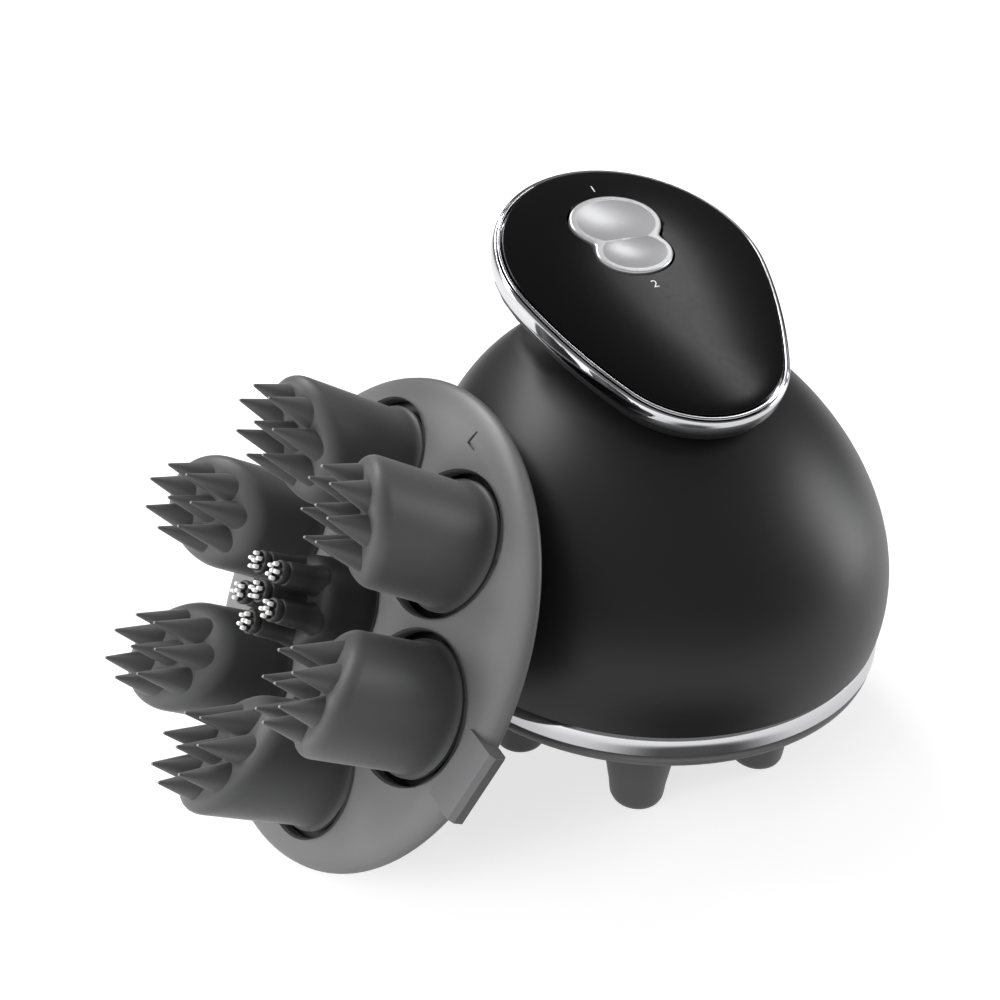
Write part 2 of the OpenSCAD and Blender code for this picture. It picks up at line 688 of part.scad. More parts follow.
// a component on the board: its corner as shares of the board, and its size
module component(x, y, size) {
    translate([x * main_board_w, y * main_board_l - 2, main_board_t - 0.01]) cube(size);
}
module main_board() {
    color("darkgreen") at_ring() translate([0, 0, board_z]) {
        translate([-main_board_w / 2, -2, 0]) cube([main_board_w, main_board_l, main_board_t]);
        color("black") component(-0.22, 0.24, [main_board_w / 4, main_board_w / 4, 1.4]);
        color("silver") component(-0.42, 0.62, [main_board_w / 4.5, main_board_w / 7, 3]);
        color("white") component(0.2, 0.36, [main_board_w / 5, main_board_w / 3, 4]);
    }
}

// ---------- attachments; in their own frame Z points out of the face, Y to the front mark ----------

peg_h = seat_z;                                  // pegs stand on the floor
edge_r = 0.8;                                    // rounded back edge of the rim
skirt_w = 2.2;
hinge_z = 1;                                     // height of the finger hinges
skirt_z = 3;                                     // underside of a finger's skirt
skirt_r = finger_hole_r - finger_gap;
arm_in = 10.6;                                   // inner end of a finger's arm
arm_t = 2;
hub_x = 7.6;                                     // half width of a finger's hub
lug_gap = 0.4;
lug_t = 2.5;
groove_play = 0.4;
middle_r = middle_hole_r - finger_gap;
plunger_r = 12.4;
plunger_t = 1.2;                                 // its flange behind the arms

module at_pegs() {
    at_set() translate([0, 0, seat_z]) rotate([180, 0, 0]) children();
}
spare_z = (att_r - edge_r) * cos(spare_up) + edge_r - edge_r * sin(spare_up);
// the dome's reach towards the spare's back, and how high it touches
touch_r = sqrt(pow(dome_r * cos(spare_up), 2) + pow(dome_rise * sin(spare_up), 2));
touch_z = dome_c + dome_rise * dome_rise * sin(spare_up) / touch_r;
touch_reach = touch_r + (ring_z + dome_c) * sin(spare_up)
    + lean(touch_z) * cos(spare_up) * sin(spare_face);
// distance of the middle of the spare's rim from the base axis
spare_dist = (touch_reach + boss_h + spare_gap - spare_z * sin(spare_up)
    + att_rim_h * pow(cos(spare_up), 2)) / (cos(spare_up) * cos(spare_face - spare_dir));
module at_spare() {
    at_set() translate([
            spare_dist * cos(spare_dir) - att_rim_h * cos(spare_up) * cos(spare_face),
            spare_dist * sin(spare_dir) - att_rim_h * cos(spare_up) * sin(spare_face),
            spare_z])
        rotate([0, 90 - spare_up, spare_face]) rotate([0, 0, 90 + spare_turn]) children();
}
module at_finger(i) {
    rotate([0, 0, i * 360 / finger_n]) translate([finger_circle_r, 0, 0]) children();
}

face_r = att_r - att_round;                      // where the rounded rim meets the face
// height of the face at radius r, inside the rounded rim
function face_z(r) = att_rim_h + att_crown * (1 - pow(r / face_r, 2));
// height of the rounded rim at radius r
function rim_z(r) = att_edge_h + (att_rim_h - att_edge_h) * sqrt(1 - pow((r - face_r) / att_round, 2));
face_steps = 6;
rim_steps = 6;
mark_r = face_r + 0.9;                           // corner of the alignment mark
mark_turn = -6;                                  // from the middle between two fingers
mark_l = 3;
mark_w = 0.6;
mark_deep = 0.35;
module cover() {
    in_r = att_r - skirt_w;
    color("#5c5c5c") difference() {
        union() {
            rotate_extrude($fn = 120) polygon(concat(
                [for (a = [-90 : 30 : 0]) [att_r - edge_r + edge_r * cos(a), edge_r + edge_r * sin(a)]],
                [for (k = [0 : rim_steps]) let (a = 90 * k / rim_steps)
                    [face_r + att_round * cos(a), att_edge_h + (att_rim_h - att_edge_h) * sin(a)]],
                [for (k = [1 : face_steps]) let (r = face_r * (1 - k / face_steps)) [r, face_z(r)]],
                [for (k = [face_steps : -1 : 0]) let (r = face_r * (1 - k / face_steps))
                    [r, face_z(r) - att_wall]],
                [for (k = [1 : 3]) let (r = face_r + (in_r - face_r) * k / 3)
                    [r, rim_z(r) - att_wall]],
                [[in_r, 0]]));
            for (s = [-1, 1]) scale([s, 1, 1]) tab();
        }
        for (i = [1 : finger_n]) at_finger(i) translate([0, 0, 1]) cylinder(h = 12, r = finger_hole_r);
        cylinder(h = 12, r = middle_hole_r);
        for (size = [[mark_w, mark_l], [mark_l, mark_w]]) rotate([0, 0, mark_turn])
            translate([0, mark_r, rim_z(mark_r + mark_l) - mark_deep]) cube([size[0], size[1], 2]);
    }
}
// bevelled release tab, whose flat top runs out from the face over the rounded rim
tab_w = 15;
tab_out = 3;
tab_in = 5.2;
tab_bevel = 1;
module tab() {
    out = att_r + tab_out;
    low = att_edge_h + 0.2;
    top = att_rim_h + 0.3;
    rotate([90, 0, 0]) translate([0, 0, -tab_w / 2])
        linear_extrude(tab_w) polygon([
            [att_r - skirt_w + 0.2, low - tab_bevel], [out - tab_bevel, low - tab_bevel], [out, low],
            [out, top - tab_bevel], [out - tab_bevel, top], [att_r - tab_in, top],
            [att_r - tab_in, top - att_wall + 0.5], [att_r - skirt_w + 0.2, low + 0.4]]);
}
plate_floor_t = 1;                               // thickness of the back plate
plate_edge_t = 1.1;
plate_wall_t = 1.6;
lug_l = 6;
hinge_reach = hub_x + lug_gap + lug_t;           // end of a hinge pin
module back_plate() {
    edge = att_r - skirt_w - free;
    color("#39393b") difference() {
        union() {
            rotate_extrude($fn = 96) polygon([
                [plunger_r + 1, -boss_h], [boss_r - 0.6, -boss_h], [boss_r, -boss_h + 0.6],
                [boss_r, 0], [edge, 0], [edge, plate_edge_t],
                [boss_r - plate_wall_t, plate_edge_t],
                [boss_r - plate_wall_t, plate_floor_t - boss_h],
                [plunger_r + 1, plate_floor_t - boss_h]]);
            for (i = [1 : finger_n]) at_finger(i) for (s = [-1, 1])
                translate([
                        -lug_l / 2,
                        s * (hinge_reach - lug_t / 2) - lug_t / 2,
                        plate_floor_t / 2 - boss_h])
                    cube([lug_l, lug_t, boss_h - plate_floor_t / 2 + skirt_z - 0.5]);
            for (s = [-1, 1]) translate([s * claw_r - claw_t / 2, -claw_w / 2, -claw_h])
                cube([claw_t, claw_w, claw_h + 0.1]);
        }
        for (i = [1 : finger_n]) at_finger(i) translate([0, -hinge_reach - 1, hinge_z])
            rotate([-90, 0, 0]) cylinder(h = 2 * hinge_reach + 2, d = hinge_d + 0.06);
    }
}
module hinge_pins() {
    color("silver") for (i = [1 : finger_n]) at_finger(i)
        translate([0, -hinge_reach, hinge_z]) rotate([-90, 0, 0])
            cylinder(h = 2 * hinge_reach, d = hinge_d);
}
module plunger() {
    low = hinge_z - arm_t / 2 - groove_play;
    high = hinge_z + arm_t / 2 + groove_play;
    color("#d0d0c8") difference() {
        rotate_extrude($fn = 72) polygon([
            [0, low - plunger_t], [plunger_r, low - plunger_t], [plunger_r, low], [arm_in - 1.2, low],
            [arm_in - 1.2, high], [plunger_r, high], [plunger_r, high + 0.9], [0, high + 0.9]]);
        translate([0, 0, low - 2]) cylinder(h = 3.4, r = post_hole_r);
    }
}
plunger_top = hinge_z + arm_t / 2 + groove_play + 0.9;

// hub, arm and skirt that every finger has; X points outwards
hub_l = 7;
hub_low = 2.2;                                   // of a hub under its hinge
arm_w = 5;
skirt_t = 1.2;
module finger_root() {
    translate([-hub_l / 2, -hub_x, hinge_z - hub_low])
        cube([hub_l, 2 * hub_x, skirt_z - hinge_z + hub_low + 0.2]);
    translate([arm_in - finger_circle_r, -arm_w / 2, hinge_z - arm_t / 2])
        cube([finger_circle_r - arm_in, arm_w, arm_t]);
    translate([0, 0, skirt_z]) cylinder(h = skirt_t, r = skirt_r);
}
module hinge_bore() {
    translate([0, -hub_x - 1, hinge_z]) rotate([-90, 0, 0])
        cylinder(h = 2 * hub_x + 2, d = hinge_d + 2 * fit);
}
function slant_z(x) = finger_h + x * tan(finger_slant);
spike_sunk = 2;                                  // of a spike's root below the slanted face
spike_tip_r = 0.25;
module spike(x, y) {
    translate([x, y, slant_z(x) - spike_sunk])
        cylinder(
            h = spike_l + spike_sunk,
            r1 = spike_r + spike_sunk * (spike_r - spike_tip_r) / spike_l,
            r2 = spike_tip_r,
            $fn = 24);
}
// space under the slanted face and inside its bevelled edge
tip_bevel = 2.6;
module under_slant() {
    deep = finger_h + 10;
    translate([0, 0, finger_h]) rotate([0, -finger_slant, 0]) translate([0, 0, -deep])
        cylinder(h = deep, r1 = finger_tip_r - tip_bevel + deep, r2 = finger_tip_r - tip_bevel);
}
module spiked_finger() {
    body_top = slant_z(finger_tip_r) + 2;
    color("#424242") difference() {
        union() {
            finger_root();
            intersection() {
                rotate_extrude() polygon([
                    [0, skirt_z], [skirt_r, skirt_z], [skirt_r, skirt_z + skirt_t],
                    [skirt_r - 0.6, skirt_z + skirt_t], [finger_tip_r + 0.4, skirt_z + 2 * skirt_t + 1],
                    [finger_tip_r, finger_h], [finger_tip_r - 0.4, body_top], [0, body_top]]);
                under_slant();
            }
            spike(0, 0);
            for (k = [0 : spike_n - 1])
                spike(spike_ring_r * cos(k * 360 / spike_n), spike_ring_r * sin(k * 360 / spike_n));
        }
        hinge_bore();
    }
}
module peg_shape(root, top_r, base, h) {
    rotate_extrude() polygon([
        [0, skirt_z], [base, skirt_z], [base, skirt_z + skirt_t], [root + 1.2, skirt_z + 3.2],
        [root, skirt_z + 5.6], [top_r, h - 3.2], [top_r - 0.7, h - 1.2], [top_r - 2, h - 0.2],
        [top_r - 2.8, h], [0, h]]);
}
module peg() {
    color("#3c3c3e") difference() {
        union() {
            finger_root();
            peg_shape(peg_root_r, peg_tip_r, skirt_r, peg_h);
        }
        hinge_bore();
    }
}
module peg_middle_shape() {
    color("#3c3c3e") translate([0, 0, plunger_top - skirt_z])
        peg_shape(peg_root_r, peg_tip_r, middle_r, peg_h - 2);
}
middle_h = 17;                                   // top of the body that carries the tubes
tube_n = 5;                                      // tubes in the ring, round one in the middle
tube_h = 11;
module bristle_middle() {
    foot = 2;
    color("#3a3a3a") {
        translate([0, 0, plunger_top]) cylinder(h = foot, r = middle_r);
        translate([0, 0, plunger_top + foot])
            cylinder(
                h = middle_h - plunger_top - foot,
                r1 = middle_r - 0.4,
                r2 = tube_ring_r + tube_d / 2 + 0.6);
        for (k = [0 : tube_n]) rotate([0, 0, k * 360 / tube_n])
            translate([k == tube_n ? 0 : tube_ring_r, 0, middle_h - 1])
                cylinder(h = tube_h + 1, r1 = tube_d / 2 + 0.4, r2 = tube_d / 2);
    }
}

module peg_cover() { at_pegs() cover(); }
module peg_back_plate() { at_pegs() back_plate(); }
module peg_plunger() { at_pegs() plunger(); }
module peg_middle() { at_pegs() peg_middle_shape(); }
module peg_hinge_pins() { at_pegs() hinge_pins(); }
module spare_cover() { at_spare() cover(); }
module spare_back_plate() { at_spare() back_plate(); }
module spare_plunger() { at_spare() plunger(); }
module spare_middle() { at_spare() bristle_middle(); }
module spare_hinge_pins() { at_spare() hinge_pins(); }

dome_shell();
grip_head();
plate_rim();
top_plate();
mode_button();
button_pin();
button_board();
tact_switches();
base_ring();
chassis();
inner_ring();
base_seal();
chassis_screws();
gear_frame();
frame_screws();
motor();
motor_pinion();
crank_gear();
gear_axle();
drive_post();
post_seal();
battery();
battery_strap();
main_board();
charge_pad();
charge_contacts();
peg_cover();
peg_back_plate();
peg_plunger();
peg_middle();
peg_hinge_pins();
spare_cover();
spare_back_plate();
spare_plunger();
spare_middle();
spare_hinge_pins();
for (i = [1 : finger_n]) {
    at_pegs() at_finger(i) peg();
    at_spare() at_finger(i) spiked_finger();
}
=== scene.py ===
"""Head massager with a clip-on peg attachment, and a spare finger attachment that leans on it.

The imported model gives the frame: its bodies, its nodes and its joints. This script dresses it with
rounded, finished surfaces and with the materials that each moulded, plated or rubber piece has.
Lengths are in metres, and mm() turns millimetres into them.
"""

import math

import bpy
from mathutils import Matrix, Vector
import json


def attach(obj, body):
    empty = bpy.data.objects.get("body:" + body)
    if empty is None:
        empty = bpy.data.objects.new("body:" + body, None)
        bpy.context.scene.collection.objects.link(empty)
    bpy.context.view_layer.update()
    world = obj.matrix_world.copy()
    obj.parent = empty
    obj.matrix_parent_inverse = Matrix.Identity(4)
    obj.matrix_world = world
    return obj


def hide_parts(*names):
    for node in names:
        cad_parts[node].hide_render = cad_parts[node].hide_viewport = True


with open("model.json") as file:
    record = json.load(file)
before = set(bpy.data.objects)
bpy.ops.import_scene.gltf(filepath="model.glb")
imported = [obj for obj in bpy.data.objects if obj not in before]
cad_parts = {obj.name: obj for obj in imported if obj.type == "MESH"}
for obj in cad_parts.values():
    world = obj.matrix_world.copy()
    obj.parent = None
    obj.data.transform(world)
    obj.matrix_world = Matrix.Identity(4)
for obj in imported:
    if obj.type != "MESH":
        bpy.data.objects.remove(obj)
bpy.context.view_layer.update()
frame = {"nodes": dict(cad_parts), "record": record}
record = frame["record"]
joints = {j["name"]: j for j in record["behaviour"]["joints"]}


def mm(value):
    return value / 1000


# ---------- sizes that the solids also have, in millimetres ----------

RING_R, RING_H, RING_Z = 53, 5.4, 34
DOME_R, DOME_MID, DOME_RISE, DOME_LEAN = 53.8, 10.6, 53, 18
WALL = 2.4
NECK_X, NECK_Y, NECK_BACK, SPLIT_Z = 16, 20, 14, 61
SHOULDER_OUT = 4  # how far outside the neck its fillet starts
PAD_Z, PAD_R, PAD_FIT = 13, 7, 0.15
PLATE_Z, PLATE_TILT = 70.4, math.radians(24.7)
WIDE_R, NARROW_R, SIDE_R, WIDE_Y, NARROW_Y = 30.8, 22, 110, 14.3, 10.6
RIM_H, RIM_W, PLATE_T, PLATE_CROWN = 4.4, 2.2, 2.6, 1
LOBES = ((25, 10.6, 8.2), (15.2, 8.8, 6.6))  # place, half width and half length of each
BUTTON_GAP, BUTTON_PROUD, BUTTON_T = 0.5, 0.5, 3.4
FINGER_CIRCLE, FINGER_HOLE, MIDDLE_HOLE = 32, 14.8, 12.6
SKIRT_R, SKIRT_Z, MIDDLE_SKIRT_R, PLUNGER_TOP = 13.4, 3, 11.2, 3.3
FINGER_H, FINGER_SLANT, TIP_R = 27, math.radians(24), 12
SPIKE_RING, SPIKE_COUNT, SPIKE_LENGTH, SPIKE_TIP = 6.9, 7, 8.25, 0.25
MIDDLE_H, TUBE_RING, TUBE_TOP, TUBE_COUNT = 17, 6.4, 28, 5
PEG_H = RING_Z - RING_H  # the pegs stand on the floor

# ---------- sizes that only this script has, in millimetres ----------

NECK_BLEND = 7  # the lower, the rounder the neck between the button's lobes
DISH_DEPTH, DISH_RISE, DISH_BORDER = 0.85, 5.5, 1.2  # hollows of the button's lobes
PRINT_PROUD = 0.03  # of the printed numbers, over the face
SPIKE_R, SPIKE_SUNK = 2.9, 1.7  # the solids' spikes are 2.8 at their roots
TIPS_SLANT = math.radians(16)  # the solids' spikes end on the slant of the face
PAINTED_TIP_LENGTH = 0.16  # length of a spike's pale end, its painted highlight
LIP_IN, LIP_OUT, LIP_LOW, LIP_HIGH = 12, 15.3, -0.52, -0.36  # lip that keeps hair out
COLLAR_Z = TUBE_TOP - 3.6  # narrow collar near the end of a bristle tube
BRISTLE_RING, BRISTLE_COUNT = 1.5, 5  # bristles round the middle one of a bundle

# ---------- places, read from the joints ----------


def frame_at(origin, z_axis, y_axis):
    """Matrix whose columns are X, Y and Z of a local frame, with its origin."""
    z = Vector(z_axis).normalized()
    y = Vector(y_axis).normalized()
    x = y.cross(z)
    m = Matrix((x, y, z)).transposed().to_4x4()
    m.translation = Vector(origin)
    return m


crank_at = Vector(joints["crank_gear_spin"]["pos_m"])
base_axis = Vector((crank_at.x, crank_at.y, 0))
ring_at = Matrix.Translation(base_axis + Vector((0, 0, mm(RING_Z))))
plate_at = ring_at @ Matrix.Translation((0, 0, mm(PLATE_Z))) @ Matrix.Rotation(PLATE_TILT, 4, "X")


def finger_at(name, normal):
    """Local frame of a finger: Z out of the attachment's face, Y along its hinge, seat at z = 0."""
    hinge = joints[name + "_hinge"]
    normal = Vector(normal).normalized()
    return frame_at(Vector(hinge["pos_m"]) - normal * mm(1), normal, hinge["axis"])


peg_normal = joints["peg_attachment_pull_off"]["axis"]
spare_normal = joints["spare_attachment_lift_off"]["axis"]


def middle_at(prefix, normal):
    """Local frame of an attachment: its origin is the middle of its six fingers."""
    spots = [finger_at(f"{prefix}_{i}", normal) for i in range(1, 7)]
    middle = sum((s.translation for s in spots), Vector()) / 6
    outward = (spots[5].translation - middle).normalized()
    return frame_at(middle, normal, Vector(normal).normalized().cross(outward))


pegs_at = middle_at("peg", peg_normal)
spare_at = middle_at("spare_finger", spare_normal)

# ---------- modelling helpers ----------


def nothing_selected():
    if bpy.context.object and bpy.context.object.mode != "OBJECT":
        bpy.ops.object.mode_set(mode="OBJECT")
    bpy.ops.object.select_all(action="DESELECT")


def only(obj):
    nothing_selected()
    obj.select_set(True)
    bpy.context.view_layer.objects.active = obj


def start_ring(name, points, z):
    """A ring of points at height z, started from a circle. The points are in millimetres."""
    nothing_selected()
    bpy.ops.mesh.primitive_circle_add(vertices=len(points), radius=mm(1))
    obj = bpy.context.object
    obj.name = name
    for vertex, (x, y) in zip(obj.data.vertices, points):
        vertex.co = Vector((mm(x), mm(y), mm(z)))
    bpy.ops.object.mode_set(mode="EDIT")
    bpy.ops.mesh.select_mode(type="VERT")
    bpy.ops.mesh.select_all(action="SELECT")
    return obj


def next_ring(rise, grow_x=1, grow_y=None, shift_y=0, centre=(0, 0, 0)):
    """Extrudes the selected ring up by rise and resizes it about a centre, all in millimetres."""
    bpy.ops.mesh.extrude_region_move(TRANSFORM_OT_translate={"value": (0, mm(shift_y), mm(rise))})
    grow_y = grow_x if grow_y is None else grow_y
    if grow_x != 1 or grow_y != 1:
        x, y, z = centre
        bpy.ops.transform.resize(value=(grow_x, grow_y, 1), center_override=(mm(x), mm(y), mm(z)))


def close_ring():
    bpy.ops.mesh.extrude_region_move(TRANSFORM_OT_translate={"value": (0, 0, 0)})
    bpy.ops.mesh.merge(type="CENTER")


def circle_points(radius, count):
    return [
        (radius * math.cos(math.tau * k / count), radius * math.sin(math.tau * k / count))
        for k in range(count)
    ]


def turned(name, profile, count=48, closed_low=True, closed_top=True):
    """A turned form: profile is a list of (radius, height) in millimetres, from its lower end."""
    obj = start_ring(name, circle_points(profile[0][0], count), profile[0][1])
    if closed_low:
        close_ring()
        bpy.ops.mesh.select_all(action="DESELECT")
        bpy.ops.object.mode_set(mode="OBJECT")
        for vertex in obj.data.vertices[:count]:
            vertex.select = True
        bpy.ops.object.mode_set(mode="EDIT")
    for (r0, z0), (r1, z1) in zip(profile, profile[1:]):
        next_ring(z1 - z0, r1 / r0)
    if closed_top:
        close_ring()
    finish_mesh(obj)
    return obj


def finish_mesh(obj, angle=40):
    """Back to object mode, doubles merged, faces outwards, smooth up to an angle."""
    only(obj)
    bpy.ops.object.mode_set(mode="EDIT")
    bpy.ops.mesh.select_all(action="SELECT")
    bpy.ops.mesh.remove_doubles(threshold=1e-6)
    bpy.ops.mesh.normals_make_consistent(inside=False)
    bpy.ops.object.mode_set(mode="OBJECT")
    bpy.ops.object.shade_smooth_by_angle(angle=math.radians(angle))


def placed(obj, matrix):
    """Puts the object's mesh at its place and leaves the object at the origin."""
    obj.data.transform(obj.matrix_world)
    obj.matrix_world = Matrix.Identity(4)
    obj.data.transform(matrix)
    obj.data.update()
    return obj


def join(objects, name):
    nothing_selected()
    for obj in objects:
        obj.select_set(True)
    bpy.context.view_layer.objects.active = objects[0]
    if len(objects) > 1:
        bpy.ops.object.join()
    objects[0].name = name
    return objects[0]


def copy_of(obj, name):
    twin = obj.copy()
    twin.data = obj.data.copy()
    twin.name = name
    bpy.context.collection.objects.link(twin)
    return twin


def modifier(obj, kind, **settings):
    only(obj)
    mod = obj.modifiers.new(kind.title(), kind)
    for key, value in settings.items():
        setattr(mod, key, value)
    bpy.ops.object.modifier_apply(modifier=mod.name)


def rounded_copy(node, width, segments=3, angle=32, smooth=38):
    """The node's own shape with its edges rounded, to stand in its place."""
    piece = copy_of(frame["nodes"][node], node + "_finished")
    piece.parent = None
    piece.matrix_world = Matrix.Identity(4)
    only(piece)
    bpy.ops.object.mode_set(mode="EDIT")
    bpy.ops.mesh.select_all(action="SELECT")
    bpy.ops.mesh.remove_doubles(threshold=2e-6)
    bpy.ops.mesh.dissolve_limited(angle_limit=math.radians(0.5))
    bpy.ops.object.mode_set(mode="OBJECT")
    modifier(
        piece, "BEVEL", width=mm(width), segments=segments, limit_method="ANGLE",
        angle_limit=math.radians(angle), harden_normals=False, use_clamp_overlap=True,
    )
    only(piece)
    bpy.ops.object.shade_smooth_by_angle(angle=math.radians(smooth))
    return piece


def even_normals(obj, angle):
    """Smooth shading that follows the large faces, so a small bevel doesn't shade them."""
    only(obj)
    bpy.ops.object.shade_smooth_by_angle(angle=math.radians(angle))
    modifier(obj, "WEIGHTED_NORMAL", keep_sharp=True, weight=80)


BODY_OF = {n: b for b, ns in record["behaviour"]["bodies"].items() for n in ns}


def stands_for(piece, node, material):
    """The piece rides with the node's body, hides the node and takes the given material."""
    piece.data.materials.clear()
    piece.data.materials.append(material)
    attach(piece, BODY_OF[node])
    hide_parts(node)
    return piece


# ---------- materials ----------


def linear(hex_colour):
    """sRGB hex value to linear colour."""
    parts = [int(hex_colour[k : k + 2], 16) / 255 for k in (1, 3, 5)]
    return tuple(c / 12.92 if c <= 0.04045 else ((c + 0.055) / 1.055) ** 2.4 for c in parts) + (1,)


def node_in(tree, kind, links=None, **settings):
    """Adds a node, sets its values and links its inputs."""
    node = tree.nodes.new(kind)
    for key, value in settings.items():
        if hasattr(node, key):
            setattr(node, key, value)
        else:
            node.inputs[key.replace("_", " ")].default_value = value
    for name, source in (links or {}).items():
        tree.links.new(source, node.inputs[name])
    return node


def blank_material(name):
    material = bpy.data.materials.new(name)
    material.use_nodes = True
    tree = material.node_tree
    for node in list(tree.nodes):
        if node.type != "OUTPUT_MATERIAL":
            tree.nodes.remove(node)
    return material, tree, next(n for n in tree.nodes if n.type == "OUTPUT_MATERIAL")


def moulded(name, colour, other, rough, grain_mm, bump, rough_spread=0.08, **socket):
    """A moulded or coated surface: a fine grain from the tool, and a slow change of tone."""
    material, tree, output = blank_material(name)
    where = node_in(tree, "ShaderNodeTexCoord")
    grain = node_in(
        tree, "ShaderNodeTexNoise", {"Vector": where.outputs["Object"]},
        Scale=1000 / grain_mm, Detail=3.0, Roughness=0.6,
    )
    tone = node_in(
        tree, "ShaderNodeTexNoise", {"Vector": where.outputs["Object"]},
        Scale=1000 / 38, Detail=2.0, Roughness=0.5,
    )
    mix = node_in(tree, "ShaderNodeMix", {"Factor": tone.outputs["Fac"]}, data_type="RGBA")
    mix.inputs[6].default_value = linear(colour)
    mix.inputs[7].default_value = linear(other)
    spread = node_in(
        tree, "ShaderNodeMapRange", {"Value": grain.outputs["Fac"]},
        From_Min=0.3, From_Max=0.7, To_Min=rough - rough_spread, To_Max=rough + rough_spread,
    )
    relief = node_in(
        tree, "ShaderNodeBump", {"Height": grain.outputs["Fac"]},
        Strength=bump, Distance=mm(0.05),
    )
    shader = node_in(
        tree, "ShaderNodeBsdfPrincipled",
        {"Base Color": mix.outputs[2], "Roughness": spread.outputs["Result"],
         "Normal": relief.outputs["Normal"]},
    )
    for key, value in socket.items():
        shader.inputs[key.replace("_", " ")].default_value = value
    tree.links.new(shader.outputs["BSDF"], output.inputs["Surface"])
    return material


def plated(name, colour, rough, ripple_mm, bump):
    """A bright metal surface: a mirror with a faint long ripple in it."""
    material, tree, output = blank_material(name)
    where = node_in(tree, "ShaderNodeTexCoord")
    ripple = node_in(
        tree, "ShaderNodeTexNoise", {"Vector": where.outputs["Object"]},
        Scale=1000 / ripple_mm, Detail=1.0,
    )
    spread = node_in(
        tree, "ShaderNodeMapRange", {"Value": ripple.outputs["Fac"]},
        From_Min=0.3, From_Max=0.7, To_Min=rough * 0.7, To_Max=rough * 1.4,
    )
    relief = node_in(
        tree, "ShaderNodeBump", {"Height": ripple.outputs["Fac"]},
        Strength=bump, Distance=mm(0.1),
    )
    shader = node_in(
        tree, "ShaderNodeBsdfPrincipled",
        {"Roughness": spread.outputs["Result"], "Normal": relief.outputs["Normal"]},
    )
    shader.inputs["Base Color"].default_value = linear(colour)
    shader.inputs["Metallic"].default_value = 1
    tree.links.new(shader.outputs["BSDF"], output.inputs["Surface"])
    return material


# soft-touch lacquer on ABS: near black, wide soft highlights
soft_touch = moulded("soft_touch_lacquer", "#161617", "#1a1a1b", 0.4, 0.28, 0.06, 0.03,
                     Specular_IOR_Level=0.4)
# bare moulded ABS under the plate, spark-eroded finish
grip_abs = moulded("grip_abs", "#1a1a1b", "#1e1e1f", 0.5, 0.35, 0.12, 0.05)
# chrome plating on ABS: bright mirror
chrome = plated("chrome_plating", "#cdcdd0", 0.06, 9, 0.02)
# back-painted acrylic with a hard satin coat: near black
acrylic = moulded("satin_acrylic", "#030304", "#050506", 0.16, 1.2, 0.002, 0.015,
                  Specular_IOR_Level=0.22)
# silver lacquer on ABS: pale metal flake under a satin coat
silver_lacquer = moulded("silver_lacquer", "#d8d8da", "#dedee0", 0.3, 0.3, 0.0005, 0.008,
                         Metallic=0.75)
# attachment covers: satin ABS, dark grey
cover_abs = moulded("cover_abs", "#5c5c5d", "#636364", 0.42, 0.3, 0.05, 0.04)
# back plates and chassis: bare ABS with a coarser grain, nearly black
back_abs = moulded("back_abs", "#262627", "#2b2b2c", 0.5, 0.4, 0.1, 0.05)
# silicone fingers: soft, matt, a little sheen at grazing angles
silicone = moulded("finger_silicone", "#434344", "#4a4a4b", 0.5, 0.5, 0.03, 0.05,
                   Sheen_Weight=0.15, Sheen_Roughness=0.4)
# silicone pegs: the same rubber, painted a shade paler as painted light for the light from the front
# on them
peg_silicone_painted_paler = moulded("peg_silicone_painted_paler", "#4e4e4f", "#545455", 0.46, 0.5, 0.03, 0.05,
                       Sheen_Weight=0.1, Sheen_Roughness=0.5)
# silicone of the middle finger: the same rubber, darker
tube_silicone = moulded("tube_silicone", "#2b2b2c", "#313132", 0.48, 0.5, 0.03, 0.05)
# black nylon bristles
bristle = moulded("black_bristle", "#0e0e0f", "#141415", 0.35, 0.4, 0.02, 0.05)
# ends of the silicone spikes: small pale dots, a painted highlight on each tip
painted_tip_highlight = moulded("painted_tip_highlight", "#85827e", "#8e8b87", 0.4, 0.3, 0.04, 0.05)
# nylon beads on the bristles' ends, and the printed numbers: nearly white, satin
pin_tip = moulded("pin_tip", "#f2f2f0", "#e4e4e2", 0.3, 0.4, 0.02, 0.05)
# metal pieces of the inside: zinc plating, a drawn can, brass and gold, and hinge pins painted dark
# as painted shade in the gaps they sit in
steel = plated("zinc_plated_steel", "#b8babd", 0.28, 1.5, 0.05)
pin_steel_painted_shade = plated("hinge_pin_painted_shade", "#2b2b2d", 0.34, 1.5, 0.05)
motor_can = plated("motor_can_steel", "#a3a5a8", 0.32, 2, 0.05)
brass = plated("turned_brass", "#c9a258", 0.25, 1, 0.05)
gold_contact = plated("gold_contact", "#d9b15c", 0.18, 1, 0.03)
# plastic and rubber of the inside: solder mask, ABS, seals, slippery acetal, cell wrap
board_green = moulded("board_solder_mask", "#0d3a1c", "#0f4421", 0.35, 2, 0.05)
inner_abs = moulded("inner_abs", "#3a3a3c", "#404043", 0.5, 0.5, 0.1, 0.05)
seal_rubber = moulded("seal_rubber", "#151515", "#1b1b1b", 0.6, 0.5, 0.1, 0.06)
acetal = moulded("acetal", "#d8d6cc", "#dedcd3", 0.38, 0.8, 0.05)
cell_wrap = moulded("cell_wrap", "#24527f", "#2a5c8c", 0.3, 3, 0.02)

# ---------- dome ----------

dome_top = DOME_MID + DOME_RISE
shoulder_r = NECK_Y + SHOULDER_OUT
shoulder_a = math.acos(shoulder_r / DOME_R)
foot_a = -math.asin(DOME_MID / DOME_RISE)
DOME_STEPS, NECK_STEPS, DOME_POINTS = 30, 10, 112


def lean(z):
    """How far a level section of the dome lies behind the base axis."""
    return DOME_LEAN * (max(z, 0) / dome_top) ** 2


